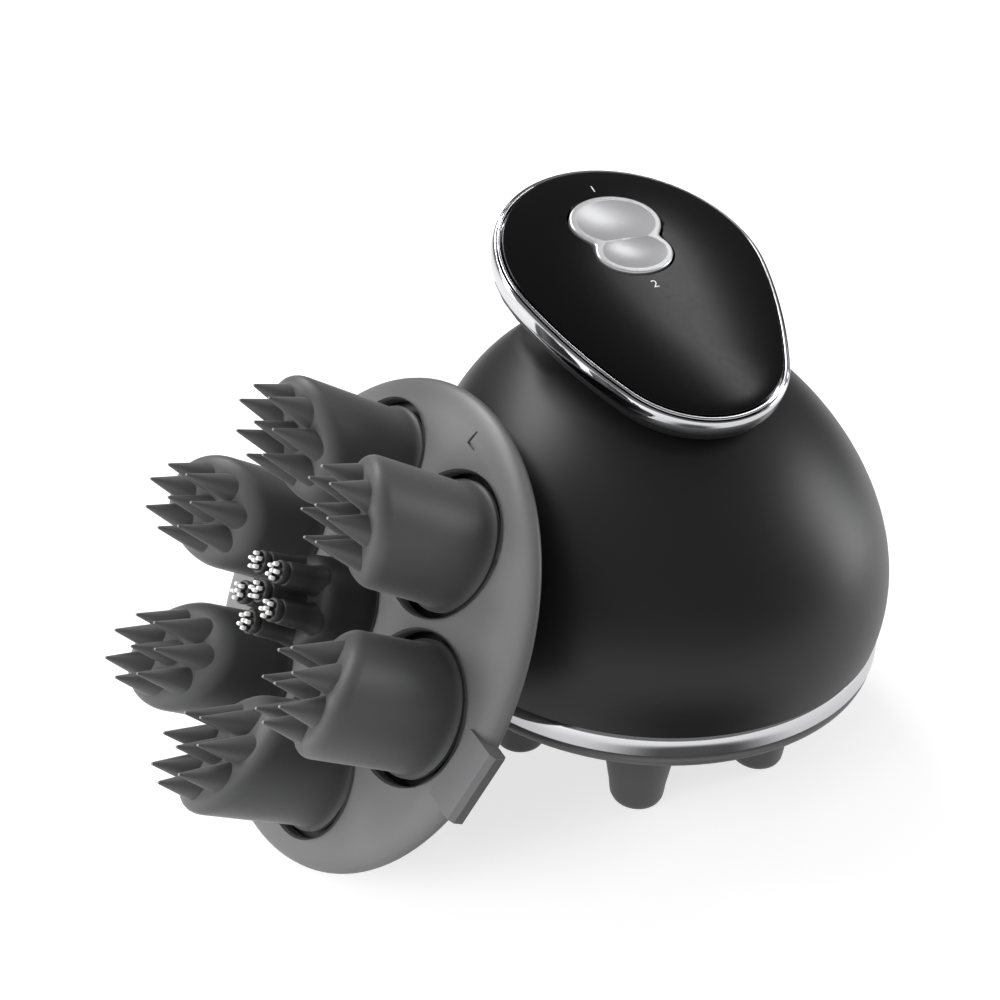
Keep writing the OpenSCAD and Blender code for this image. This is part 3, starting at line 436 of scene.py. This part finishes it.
def dome_rings():
    """(half width, half length, middle, height) of each level section, from the foot up."""
    rings = []
    for k in range(DOME_STEPS + 1):
        a = foot_a + (shoulder_a - foot_a) * k / DOME_STEPS
        z = DOME_MID + DOME_RISE * math.sin(a)
        rings.append((DOME_R * math.cos(a), DOME_R * math.cos(a), lean(z), z))
    low = rings[-1]
    for k in range(1, NECK_STEPS + 1):
        a = math.pi / 2 * k / NECK_STEPS
        f, g = math.sin(a), 1 - math.cos(a)
        rings.append((
            shoulder_r + (NECK_X - shoulder_r) * f,
            shoulder_r + (NECK_Y - shoulder_r) * f,
            low[2] + (NECK_BACK - low[2]) * f,
            low[3] + (SPLIT_Z - low[3]) * g,
        ))
    return rings


def make_dome():
    """Hollow shell with the opening for the charging pad in its back."""
    rings = dome_rings()
    rx, ry, y, z = rings[0]
    dome = start_ring("dome_skin", [(x, y + v) for x, v in circle_points(rx, DOME_POINTS)], z)
    for (rx0, ry0, y0, z0), (rx1, ry1, y1, z1) in zip(rings, rings[1:]):
        next_ring(z1 - z0, rx1 / rx0, ry1 / ry0, y1 - y0, (0, y1, z1))
    finish_mesh(dome, 60)
    modifier(dome, "SOLIDIFY", thickness=mm(WALL), offset=-1, use_even_offset=True)
    pad_y = DOME_R + lean(PAD_Z)
    nothing_selected()
    bpy.ops.mesh.primitive_cylinder_add(
        vertices=64, radius=mm(PAD_R + PAD_FIT), depth=mm(2 * PAD_R),
        location=(0, mm(pad_y), mm(PAD_Z)),
        rotation=(math.pi / 2, 0, 0),
    )
    cutter = bpy.context.object
    modifier(dome, "BOOLEAN", object=cutter, operation="DIFFERENCE", solver="EXACT")
    bpy.data.objects.remove(cutter)
    only(dome)
    bpy.ops.object.shade_smooth_by_angle(angle=math.radians(40))
    stands_for(placed(dome, ring_at), "dome_shell", soft_touch)


make_dome()

# ---------- plate: rim, face, numbers and button ----------

arc_d1, arc_d2, arc_d = SIDE_R - WIDE_R, SIDE_R - NARROW_R, WIDE_Y + NARROW_Y
arc_y = WIDE_Y - (arc_d**2 + arc_d1**2 - arc_d2**2) / (2 * arc_d)
arc_x = math.sqrt(arc_d1**2 - (WIDE_Y - arc_y) ** 2)
arc_a1 = math.atan2(WIDE_Y - arc_y, arc_x)
arc_a2 = math.atan2(-NARROW_Y - arc_y, arc_x)


def egg(inset, count=144):
    """Points of the plate's outline, moved inwards, evenly spread over its four arcs."""
    side = round(count / 7)
    wide = round(count / 2) - side
    narrow = count - 2 * side - wide
    arcs = (
        (-arc_x, arc_y, SIDE_R, arc_a2, arc_a1, side),
        (0, WIDE_Y, WIDE_R, arc_a1, math.pi - arc_a1, wide),
        (arc_x, arc_y, SIDE_R, math.pi - arc_a1, math.pi - arc_a2, side),
        (0, -NARROW_Y, NARROW_R, math.pi - arc_a2, math.tau + arc_a2, narrow),
    )
    return [
        (x + (r - inset) * math.cos(a0 + (a1 - a0) * k / n),
         y + (r - inset) * math.sin(a0 + (a1 - a0) * k / n))
        for x, y, r, a0, a1, n in arcs
        for k in range(n)
    ]


def outline_rings(name, outline, profile):
    """A form that follows an outline: profile is a list of (inset, height)."""
    obj = start_ring(name, outline(profile[0][0]), profile[0][1])
    count = len(obj.data.vertices)
    for inset, z in profile[1:]:
        bpy.ops.mesh.extrude_region_move(TRANSFORM_OT_translate={"value": (0, 0, 0)})
        bpy.ops.object.mode_set(mode="OBJECT")
        for vertex, (x, y) in zip(obj.data.vertices[-count:], outline(inset)):
            vertex.co = Vector((mm(x), mm(y), mm(z)))
        bpy.ops.object.mode_set(mode="EDIT")
    return obj


def fill_ends(obj):
    """Closes the two open ends of a form made by outline_rings."""
    only(obj)
    bpy.ops.object.mode_set(mode="EDIT")
    bpy.ops.mesh.select_mode(type="EDGE")
    bpy.ops.mesh.select_all(action="DESELECT")
    bpy.ops.mesh.select_non_manifold()
    bpy.ops.mesh.fill_holes(sides=0)
    bpy.ops.object.mode_set(mode="OBJECT")


def arc_steps(x0, z0, x1, z1, bulge, steps):
    """Points of a profile along a quarter round; bulge says to which side it curves."""
    out = []
    for k in range(1, steps + 1):
        a = math.pi / 2 * k / steps
        f, g = (math.sin(a), 1 - math.cos(a)) if bulge else (1 - math.cos(a), math.sin(a))
        out.append((x0 + (x1 - x0) * f, z0 + (z1 - z0) * g))
    return out


def make_rim():
    """Side band with rounded edges, a fine groove and an inner lip, as one plated moulding."""
    foot, groove_z, lip_z, seat_z = 0.7, -1.7, -0.3, -2.0
    profile = [(RIM_W, -RIM_H), (foot, -RIM_H)]
    profile += arc_steps(foot, -RIM_H, 0.0, -RIM_H + 0.8, True, 5)
    profile += arc_steps(0.0, -3.2, 0.62, -0.45, False, 9)
    profile += [(0.66, groove_z), (0.94, groove_z), (0.97, lip_z)]
    profile += arc_steps(0.97, lip_z, 1.16, -0.08, False, 3)
    profile += [(1.44, -0.03), (1.58, -0.1), (1.64, lip_z), (1.66, seat_z)]
    profile += [(RIM_W, seat_z), (RIM_W, -RIM_H)]
    rim = outline_rings("plate_rim_band", egg, profile)
    finish_mesh(rim, 50)
    stands_for(placed(rim, plate_at), "plate_rim", chrome)


def lobes_outline(inset, count=180):
    """Outline of the two lobes together, moved inwards, seen from the waist between them.

    The two reaches are blended, so the neck between the lobes is rounded.
    """
    (y1, _, _), (y2, _, _) = LOBES
    waist = (y1 + y2) / 2 - 1
    points = []
    for k in range(count):
        dx, dy = math.cos(math.tau * k / count), math.sin(math.tau * k / count)
        reach = 0
        for y, rx, ry in LOBES:
            p, q, shift = rx - inset, ry - inset, waist - y
            a = (dx / p) ** 2 + (dy / q) ** 2
            b = shift * dy / q**2
            c = (shift / q) ** 2 - 1
            reach += ((math.sqrt(b * b - a * c) - b) / a) ** NECK_BLEND
        reach = reach ** (1 / NECK_BLEND)
        points.append((reach * dx, waist + reach * dy))
    return points


def make_plate_face():
    """Crowned acrylic face with a rounded edge, cut out for the button."""
    edge, edge_round, edge_z = RIM_W - 0.25, 0.35, 0.3
    steps, innermost = 9, 21.2
    profile = [(edge, -PLATE_T), (edge, 0.0)]
    profile += arc_steps(edge, 0.0, edge + edge_round, edge_z, False, 4)
    crown = []
    for k in range(1, steps + 1):
        inset = edge + edge_round + (innermost - edge) * (k / steps) ** 1.25
        crown.append((inset, edge_z + (PLATE_CROWN - 0.32) * (1 - (1 - k / steps) ** 2)))
    face = outline_rings("plate_face", egg, profile + crown)
    fill_ends(face)
    finish_mesh(face, 30)
    cutter = outline_rings("button_hole", lobes_outline, [(-BUTTON_GAP, -6), (-BUTTON_GAP, 6)])
    fill_ends(cutter)
    finish_mesh(cutter, 50)
    modifier(face, "BOOLEAN", object=cutter, operation="DIFFERENCE", solver="EXACT")
    bpy.data.objects.remove(cutter)
    modifier(face, "BEVEL", width=mm(0.22), segments=3, limit_method="ANGLE",
             angle_limit=math.radians(50), use_clamp_overlap=True)
    even_normals(face, 50)
    return stands_for(placed(face, plate_at), "top_plate", acrylic)


make_rim()
plate_face = make_plate_face()


def make_number(text, y, size):
    """A plain number printed on the crowned face, beside its end of the button."""
    nothing_selected()
    bpy.ops.object.text_add(location=(0, 0, 0))
    number = bpy.context.object
    number.data.body = text
    number.data.size = mm(size)
    number.data.align_x = "CENTER"
    number.data.align_y = "CENTER"
    bpy.ops.object.convert(target="MESH")
    number = bpy.context.object
    number.name = "plate_number_" + text
    number.data.materials.clear()
    number.data.materials.append(pin_tip)
    placed(number, plate_at @ Matrix.Translation((0, mm(y), mm(3))))
    outward = plate_at.to_3x3() @ Vector((0, 0, 1))
    for vertex in number.data.vertices:
        met, spot, *_ = plate_face.ray_cast(vertex.co, -outward)
        if met:
            vertex.co = spot + outward * mm(PRINT_PROUD)
    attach(number, BODY_OF["top_plate"])


make_number("1", 36.6, 3)
make_number("2", 5.2, 3)


def make_button():
    """Two lobes in one moulding, each dished to a narrow flat border, with rounded edges."""
    top = PLATE_CROWN + BUTTON_PROUD
    profile = [(0.2, top - BUTTON_T), (0, top - BUTTON_T + 0.2), (0, top - 0.4)]
    profile += arc_steps(0, top - 0.4, 0.4, top, False, 5)
    button = outline_rings("button_cap", lobes_outline, profile)
    fill_ends(button)
    finish_mesh(button, 50)
    shrink = math.sqrt(1 - ((DISH_RISE - DISH_DEPTH) / DISH_RISE) ** 2)
    for y, rx, ry in LOBES:
        nothing_selected()
        bpy.ops.mesh.primitive_uv_sphere_add(
            segments=96, ring_count=64, radius=1,
            location=(0, mm(y), mm(top + DISH_RISE - DISH_DEPTH)),
        )
        cutter = bpy.context.object
        cutter.scale = (
            mm((rx - DISH_BORDER) / shrink), mm((ry - DISH_BORDER) / shrink), mm(DISH_RISE),
        )
        bpy.ops.object.transform_apply(location=True, rotation=False, scale=True)
        modifier(button, "BOOLEAN", object=cutter, operation="DIFFERENCE", solver="EXACT")
        bpy.data.objects.remove(cutter)
    even_normals(button, 50)
    stands_for(placed(button, plate_at), "mode_button", silver_lacquer)


make_button()
stands_for(rounded_copy("grip_head", 0.3, 2, 50, 40), "grip_head", grip_abs)

# ---------- base ring, chassis and charging pad ----------


def make_base_ring():
    """Plated band whose face curves in towards the dome."""
    inner = DOME_R * math.cos(foot_a) - WALL
    foot, inwards, curved_h = 0.9, 1.1, 3.4
    profile = [(inner, -RING_H), (RING_R - foot, -RING_H)]
    profile += [(RING_R - foot * math.cos(a), -RING_H + foot * math.sin(a))
                for a in (math.radians(15 * k) for k in range(1, 7))]
    profile += [(RING_R - inwards * (1 - math.cos(a)), -curved_h + curved_h * math.sin(a))
                for a in (math.radians(10 * k) for k in range(1, 10))]
    profile += [(inner, 0), (inner, -RING_H)]
    ring = turned("ring_band", profile, 160, False, False)
    stands_for(placed(ring, ring_at), "base_ring", chrome)


make_base_ring()
stands_for(rounded_copy("chassis", 0.25, 2, 40, 40), "chassis", back_abs)
stands_for(rounded_copy("charge_pad", 0.35, 3, 40, 40), "charge_pad", seal_rubber)
stands_for(rounded_copy("charge_contacts", 0.25, 2, 40, 40), "charge_contacts", gold_contact)

# ---------- attachments ----------


def soften_holes(cover, place, width):
    """Rounds the outer edges of a cover's finger holes."""
    facing_out, level, near = 0.3, 0.1, 0.1
    inverse = place.inverted()
    turn = inverse.to_3x3()
    mesh = cover.data
    spots = [(inverse @ v.co) * 1000 for v in mesh.vertices]
    holes = [(0, 0, MIDDLE_HOLE)] + [
        (x, y, FINGER_HOLE) for x, y in circle_points(FINGER_CIRCLE, 6)
    ]
    faces_up, faces_level = set(), set()
    for face in mesh.polygons:
        rise = (turn @ face.normal).z
        if rise > facing_out:
            faces_up.update(face.edge_keys)
        elif abs(rise) < level:
            faces_level.update(face.edge_keys)
    only(cover)
    bpy.ops.object.mode_set(mode="EDIT")
    bpy.ops.mesh.select_mode(type="EDGE")
    bpy.ops.mesh.select_all(action="DESELECT")
    bpy.ops.object.mode_set(mode="OBJECT")
    for edge in mesh.edges:
        ends = [spots[v] for v in edge.vertices]
        edge.select = edge.key in faces_up and edge.key in faces_level and any(
            all(abs(math.hypot(p.x - x, p.y - y) - r) < near for p in ends) for x, y, r in holes
        )
    bpy.ops.object.mode_set(mode="EDIT")
    bpy.ops.mesh.bevel(offset=mm(width), segments=5, affect="EDGES")
    bpy.ops.object.mode_set(mode="OBJECT")
    even_normals(cover, 35)
    return cover


for side, place in (("peg", pegs_at), ("spare", spare_at)):
    cover = rounded_copy(side + "_cover", 0.14, 2, 40, 35)
    stands_for(soften_holes(cover, place, 0.9), side + "_cover", cover_abs)
    stands_for(rounded_copy(side + "_back_plate", 0.2, 2, 40, 35), side + "_back_plate", back_abs)


def base_block():
    """Hub and arm that a finger has under its skirt."""
    hub_size, hub_middle = (7, 15.2, 4.6), (0, 0, 1.1)
    arm_size, arm_middle = (21.4, 5, 2), (-10.7, 0, 1)
    blocks = []
    for size, centre in ((hub_size, hub_middle), (arm_size, arm_middle)):
        nothing_selected()
        bpy.ops.mesh.primitive_cube_add(size=1, location=tuple(mm(c) for c in centre))
        block = bpy.context.object
        block.scale = tuple(mm(s) for s in size)
        bpy.ops.object.transform_apply(location=True, rotation=False, scale=True)
        modifier(block, "BEVEL", width=mm(0.4), segments=2)
        blocks.append(block)
    return join(blocks, "base_block")


def one_spike(length):
    """A straight cone that starts under the face, with a small round end."""
    root = SPIKE_R + SPIKE_SUNK * (SPIKE_R - SPIKE_TIP) / length
    return turned("spike", [
        (root, -SPIKE_SUNK), (SPIKE_TIP + 0.04, length - 0.2), (0.2, length - 0.06), (0.1, length),
    ], 28)


def slanted_body():
    """Round rubber body that widens to its skirt, with a slanted and rounded end."""
    uncut_h, end_round = 36, 3.8
    body = turned("finger_body", [
        (SKIRT_R - 0.2, SKIRT_Z), (SKIRT_R, SKIRT_Z + 0.2), (SKIRT_R, 4.0), (SKIRT_R - 0.2, 4.2),
        (TIP_R + 0.85, 4.5), (TIP_R + 0.6, 5.1), (TIP_R + 0.45, 6.0), (TIP_R + 0.4, 7.5),
        (TIP_R + 0.3, 13), (TIP_R - 0.15, uncut_h),
    ], 80)
    only(body)
    bpy.ops.object.mode_set(mode="EDIT")
    bpy.ops.mesh.select_all(action="SELECT")
    slant = Vector((-math.sin(FINGER_SLANT), 0, math.cos(FINGER_SLANT)))
    bpy.ops.mesh.bisect(
        plane_co=(0, 0, mm(FINGER_H)), plane_no=slant, use_fill=True, clear_outer=True,
    )
    bpy.ops.mesh.select_all(action="DESELECT")
    bpy.ops.object.mode_set(mode="OBJECT")
    for face in body.data.polygons:
        face.select = face.normal.dot(slant) > 0.995 and len(face.vertices) > 20
    bpy.ops.object.mode_set(mode="EDIT")
    bpy.ops.mesh.select_mode(type="FACE")
    bpy.ops.mesh.bevel(offset=mm(end_round), segments=8, affect="EDGES")
    finish_mesh(body, 50)
    return body


finger_template = slanted_body()
hub_template = base_block()


def make_finger(index):
    """Body, hub and spikes as one rubber moulding, with a painted highlight on each spike's end; the
    spikes' ends slant less than the face.
    """
    parts = [copy_of(finger_template, "body"), copy_of(hub_template, "hub")]
    slope, tips_slope = math.tan(FINGER_SLANT), math.tan(TIPS_SLANT)
    high = FINGER_H + SPIKE_RING * slope + SPIKE_LENGTH
    spots = [(x, y, high - (SPIKE_RING - x) * tips_slope)
             for x, y in [(0, 0)] + circle_points(SPIKE_RING, SPIKE_COUNT)]
    for x, y, tip_z in spots:
        face_z = FINGER_H + x * slope
        spike = one_spike(tip_z - face_z)
        spike.data.transform(Matrix.Translation((mm(x), mm(y), mm(face_z))))
        parts.append(spike)
    name = f"spare_finger_{index}"
    place = finger_at(name, spare_normal)
    finger = join(parts, name + "_rubber")
    stands_for(placed(finger, place), name, silicone)
    # second slot: the painted highlight on the pale end of each spike
    finger.data.materials.append(painted_tip_highlight)
    to_local = place.inverted()
    local = [to_local @ v.co for v in finger.data.vertices]
    for face in finger.data.polygons:
        middle = sum((local[v] for v in face.vertices), Vector()) / len(face.vertices)
        nearest = min(spots, key=lambda s: (middle.x - mm(s[0])) ** 2 + (middle.y - mm(s[1])) ** 2)
        if middle.z > mm(nearest[2] - PAINTED_TIP_LENGTH):
            face.material_index = 1


for index in range(1, 7):
    make_finger(index)

# ---------- middle finger of the spare, with pin bundles ----------


tube_spots = circle_points(TUBE_RING, TUBE_COUNT) + [(0, 0)]


def make_middle_body():
    """Soft body with six tubes, and a lip that keeps hair out."""
    foot, collar = PLUNGER_TOP, COLLAR_Z
    body = turned("middle_body", [
        (MIDDLE_SKIRT_R, foot), (MIDDLE_SKIRT_R, foot + 1.5), (11.0, foot + 1.9), (10.8, 6.2),
        (10.5, 9), (10.2, 12), (9.95, 14.6), (9.5, 15.8), (8.7, 16.6), (7.6, MIDDLE_H),
        (4, MIDDLE_H + 0.05),
    ], 64)
    lip = turned("hair_lip", [
        (LIP_IN, LIP_LOW), (LIP_OUT, LIP_LOW), (LIP_OUT, LIP_HIGH), (LIP_IN, LIP_HIGH),
        (LIP_IN, LIP_LOW),
    ], 64, False, False)
    parts = [body, lip]
    for x, y in tube_spots:
        tube = turned("tube", [
            (3.5, MIDDLE_H - 0.8), (3.15, MIDDLE_H + 0.3), (2.9, MIDDLE_H + 1.3),
            (2.75, MIDDLE_H + 2.6), (2.6, collar - 0.5), (2.45, collar), (2.15, collar + 0.15),
            (2.15, collar + 0.75), (2.45, collar + 0.9), (2.45, collar + 1.7), (2.3, collar + 1.9),
            (1.9, collar + 1.95), (1.8, collar + 1.5),
        ], 32)
        tube.data.transform(Matrix.Translation((mm(x), mm(y), 0)))
        parts.append(tube)
    middle = join(parts, "spare_middle_rubber")
    placed(middle, spare_at)
    stands_for(middle, "spare_middle", tube_silicone)


def make_bundles(name, material, profile):
    """The same turned form at every bristle of every tube, as one piece."""
    between, twist = 360 / BRISTLE_COUNT, 24  # degrees; each tube's bundle is turned a bit more
    pins = []
    for k, (x, y) in enumerate(tube_spots):
        for j in range(BRISTLE_COUNT + 1):
            angle = math.radians(between * j + twist * k)
            out = 0 if j == BRISTLE_COUNT else BRISTLE_RING
            pin = turned("pin", profile, 12)
            pin.data.transform(Matrix.Translation((
                mm(x + out * math.cos(angle)), mm(y + out * math.sin(angle)), 0)))
            pins.append(pin)
    bundle = join(pins, name)
    bundle.data.materials.clear()
    bundle.data.materials.append(material)
    placed(bundle, spare_at)
    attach(bundle, BODY_OF["spare_middle"])


make_middle_body()
make_bundles("bristle_stems", bristle, [
    (0.58, COLLAR_Z + 1), (0.58, TUBE_TOP - 1.3), (0.46, TUBE_TOP - 1.15),
])
make_bundles("bristle_tips", pin_tip, [
    (0.36, TUBE_TOP - 1.25), (0.44, TUBE_TOP - 1.05), (0.44, TUBE_TOP - 0.35),
    (0.34, TUBE_TOP - 0.1), (0.18, TUBE_TOP),
])

# ---------- pegs of the mounted attachment ----------

# a little thicker than the solids' pegs: 0.6 mm at most along the side, 1.1 mm at the flat end
PEG_PROFILE = [
    (SKIRT_R, SKIRT_Z), (SKIRT_R, 4.2), (13.1, 4.7), (12.2, 5.1), (11.0, 5.5), (10.2, 6.1),
    (9.6, 7.0), (9.15, 8.4), (8.75, 10.2), (8.2, 13), (7.6, 16.5), (7.0, 20), (6.4, 23.6),
]


def peg_form(name, skirt, height):
    """Peg of a given height whose skirt is no wider than its hole allows."""
    profile = [(min(r, skirt), z) for r, z in PEG_PROFILE]
    profile += [(6.15, height - 2.6), (6.0, height - 1.7), (5.6, height - 0.85),
                (5.0, height - 0.3), (4.2, height - 0.04), (3.4, height)]
    return turned(name, profile, 64)


peg_template = peg_form("peg_body", SKIRT_R, PEG_H)
for index in range(1, 7):
    name = f"peg_{index}"
    peg = join([copy_of(peg_template, "peg"), copy_of(hub_template, "hub")], name + "_rubber")
    placed(peg, finger_at(name, peg_normal))
    stands_for(peg, name, peg_silicone_painted_paler)
middle_peg = peg_form("peg_middle_rubber", MIDDLE_SKIRT_R, PEG_H - 2)
placed(middle_peg, pegs_at @ Matrix.Translation((0, 0, mm(PLUNGER_TOP - SKIRT_Z))))
stands_for(middle_peg, "peg_middle", peg_silicone_painted_paler)
for template in (finger_template, hub_template, peg_template):
    bpy.data.objects.remove(template)

# ---------- finishes of the pieces that keep their own shape ----------

FINISH = {
    "button_pin": steel, "button_board": board_green, "tact_switches": inner_abs,
    "inner_ring": inner_abs, "base_seal": seal_rubber, "chassis_screws": steel,
    "gear_frame": inner_abs, "frame_screws": steel, "motor": motor_can, "motor_pinion": brass,
    "crank_gear": acetal, "gear_axle": steel, "drive_post": acetal, "post_seal": seal_rubber,
    "battery": cell_wrap, "battery_strap": inner_abs, "main_board": board_green,
    # the hinge pins are painted dark: painted shade in their gaps
    "peg_plunger": inner_abs, "spare_plunger": inner_abs, "peg_hinge_pins": pin_steel_painted_shade,
    "spare_hinge_pins": pin_steel_painted_shade,
}
for node, material in FINISH.items():
    obj = frame["nodes"][node]
    for slot in obj.material_slots:
        slot.material = material

# ---------- floor, lights and camera ----------

# the view's own directions on the floor, turned by 24 degrees from the set's axes
RIGHT = Vector((0.9135, -0.4067, 0))
AWAY = Vector((0.4067, 0.9135, 0))
UP = Vector((0, 0, 1))

SHADE_NEAR, SHADE_FAR, SHADE_LEVEL = 80, 320, 0.72  # millimetres, and the level near the set
PATCH_RIGHT, PATCH_FRONT = 20, 92  # middle of the patch, in millimetres from the base axis
PATCH_CORE, PATCH_EDGE = 18, 62  # its dark core, and where it ends
PATCH_AT = base_axis + RIGHT * mm(PATCH_RIGHT) - AWAY * mm(PATCH_FRONT)
TOP_COLOUR, PATCH_COLOUR = 0.4, 0.1  # linear grey of the table top, and of the patch
GLOSSY_LEVEL = 0.75  # of the table top, in reflections


def make_floor():
    """White table top that keeps a soft shadow.

    Reflections see it dimmer, and a dark round patch in it in front of the set, which gives the
    plated ring its dark middle. The camera sees neither.
    """
    nothing_selected()
    bpy.ops.mesh.primitive_plane_add(size=8, location=(0, 0, 0))
    floor = bpy.context.object
    floor.name = "table_top"
    material, tree, output = blank_material("table_white")
    where = node_in(tree, "ShaderNodeTexCoord")
    distance = node_in(
        tree, "ShaderNodeVectorMath", {"Vector": where.outputs["Object"]}, operation="LENGTH",
    )
    glow = node_in(
        tree, "ShaderNodeMapRange", {"Value": distance.outputs["Value"]},
        From_Min=mm(SHADE_NEAR), From_Max=mm(SHADE_FAR), To_Min=SHADE_LEVEL, To_Max=1.0,
    )
    path = node_in(tree, "ShaderNodeLightPath")
    to_patch = node_in(
        tree, "ShaderNodeVectorMath", {0: where.outputs["Object"]}, operation="DISTANCE",
    )
    to_patch.inputs[1].default_value = PATCH_AT
    reflected = node_in(
        tree, "ShaderNodeMapRange", {"Value": to_patch.outputs["Value"]},
        interpolation_type="SMOOTHSTEP",
        From_Min=mm(PATCH_CORE), From_Max=mm(PATCH_EDGE), To_Min=0.0, To_Max=GLOSSY_LEVEL,
    )
    glossy = node_in(
        tree, "ShaderNodeMath",
        {0: path.outputs["Is Glossy Ray"], 1: reflected.outputs["Result"]}, operation="MULTIPLY",
    )
    dimmed = node_in(
        tree, "ShaderNodeMapRange", {"Value": reflected.outputs["Result"]},
        From_Min=0.0, From_Max=GLOSSY_LEVEL, To_Min=PATCH_COLOUR, To_Max=TOP_COLOUR,
    )
    own = node_in(
        tree, "ShaderNodeMix",
        {"Factor": path.outputs["Is Glossy Ray"], "B": dimmed.outputs["Result"]},
        data_type="FLOAT", A=TOP_COLOUR,
    )
    seen = node_in(
        tree, "ShaderNodeMath", {0: path.outputs["Is Camera Ray"], 1: glossy.outputs[0]},
        operation="MAXIMUM",
    )
    strength = node_in(
        tree, "ShaderNodeMath", {0: seen.outputs[0], 1: glow.outputs["Result"]},
        operation="MULTIPLY",
    )
    bright = node_in(tree, "ShaderNodeEmission", {"Strength": strength.outputs[0]})
    shader = node_in(tree, "ShaderNodeBsdfDiffuse", {"Color": own.outputs["Result"]})
    both = node_in(
        tree, "ShaderNodeAddShader", {0: shader.outputs[0], 1: bright.outputs[0]},
    )
    tree.links.new(both.outputs[0], output.inputs["Surface"])
    floor.data.materials.append(material)


ROOM_LEVEL = 0.22  # what the room gives to the light and to reflections


def make_world():
    """Room that is white to the camera and through clear pieces, and grey to all other rays."""
    world = bpy.data.worlds.new("studio")
    bpy.context.scene.world = world
    world.use_nodes = True
    sky = world.node_tree
    sky.nodes.clear()
    path = node_in(sky, "ShaderNodeLightPath")
    seen = node_in(
        sky, "ShaderNodeMath",
        {0: path.outputs["Is Camera Ray"], 1: path.outputs["Is Transmission Ray"]},
        operation="MAXIMUM",
    )
    level = node_in(
        sky, "ShaderNodeMapRange", {"Value": seen.outputs[0]}, To_Min=ROOM_LEVEL, To_Max=1.0,
    )
    studio = node_in(sky, "ShaderNodeBackground", {"Strength": level.outputs["Result"]})
    studio.inputs["Color"].default_value = (1, 1, 1, 1)
    node_in(sky, "ShaderNodeOutputWorld", {"Surface": studio.outputs[0]})


make_floor()
make_world()

subject = Vector((0, 0, 0.06))  # what the lamps are turned to


def soft_light(name, side, back, rise, width, height, power, shows=True):
    """Soft box beside, behind and above the set, in metres. The camera doesn't see it.

    shows says whether reflections see it.
    """
    data = bpy.data.lights.new(name, "AREA")
    data.shape = "RECTANGLE"
    data.size, data.size_y = width, height
    data.energy = power
    lamp = bpy.data.objects.new(name, data)
    bpy.context.collection.objects.link(lamp)
    lamp.location = subject + RIGHT * side + AWAY * back + UP * rise
    lamp.rotation_mode = "QUATERNION"
    lamp.rotation_quaternion = (subject - lamp.location).to_track_quat("-Z", "Y")
    lamp.visible_glossy = shows
    lamp.visible_camera = False


soft_light("front_left", -0.45, -0.6, 0.66, 0.5, 0.5, 3.1, False)
soft_light("low_front", 0.1, -0.9, 0.15, 0.6, 0.3, 1.2, False)
soft_light("low_left", -0.33, -0.2, 0.06, 0.2, 0.2, 1.2, False)
soft_light("behind_left", -0.28, 0.52, 0.8, 0.32, 0.32, 4.5)
soft_light("upper_left", -0.54, 0.2, 0.8, 0.34, 0.34, 3)
soft_light("left_side", -0.95, 0.25, 0.22, 0.3, 0.6, 2.5)
soft_light("right_side", 0.95, 0.2, 0.2, 0.35, 0.7, 4)
soft_light("plate_strip", 0.38, 0.35, 0.73, 0.3, 0.06, 0.27)

PITCH = math.radians(29.1)  # how far the camera looks down
EYE_LEFT, EYE_UP, EYE_BACK = 0.642, 0.400, 5.318  # of the camera from the ring, in ring radii
LENS, SENSOR = 43.2, 36


def make_camera():
    """Camera that looks down at the set, with the base ring below and right of its middle."""
    forward = AWAY * math.cos(PITCH) - UP * math.sin(PITCH)
    down = -AWAY * math.sin(PITCH) - UP * math.cos(PITCH)
    ring_middle = ring_at.translation
    eye = ring_middle - mm(RING_R) * (EYE_LEFT * RIGHT + EYE_UP * down + EYE_BACK * forward)
    camera_data = bpy.data.cameras.new("camera")
    camera_data.sensor_width = SENSOR
    camera_data.lens = LENS
    camera_data.clip_start = 0.01
    camera_data.clip_end = 20
    camera = bpy.data.objects.new("camera", camera_data)
    bpy.context.collection.objects.link(camera)
    camera.matrix_world = Matrix((
        (RIGHT.x, -down.x, -forward.x, eye.x),
        (RIGHT.y, -down.y, -forward.y, eye.y),
        (RIGHT.z, -down.z, -forward.z, eye.z),
        (0, 0, 0, 1),
    ))
    bpy.context.scene.camera = camera


make_camera()
bpy.context.scene.view_settings.view_transform = "Standard"
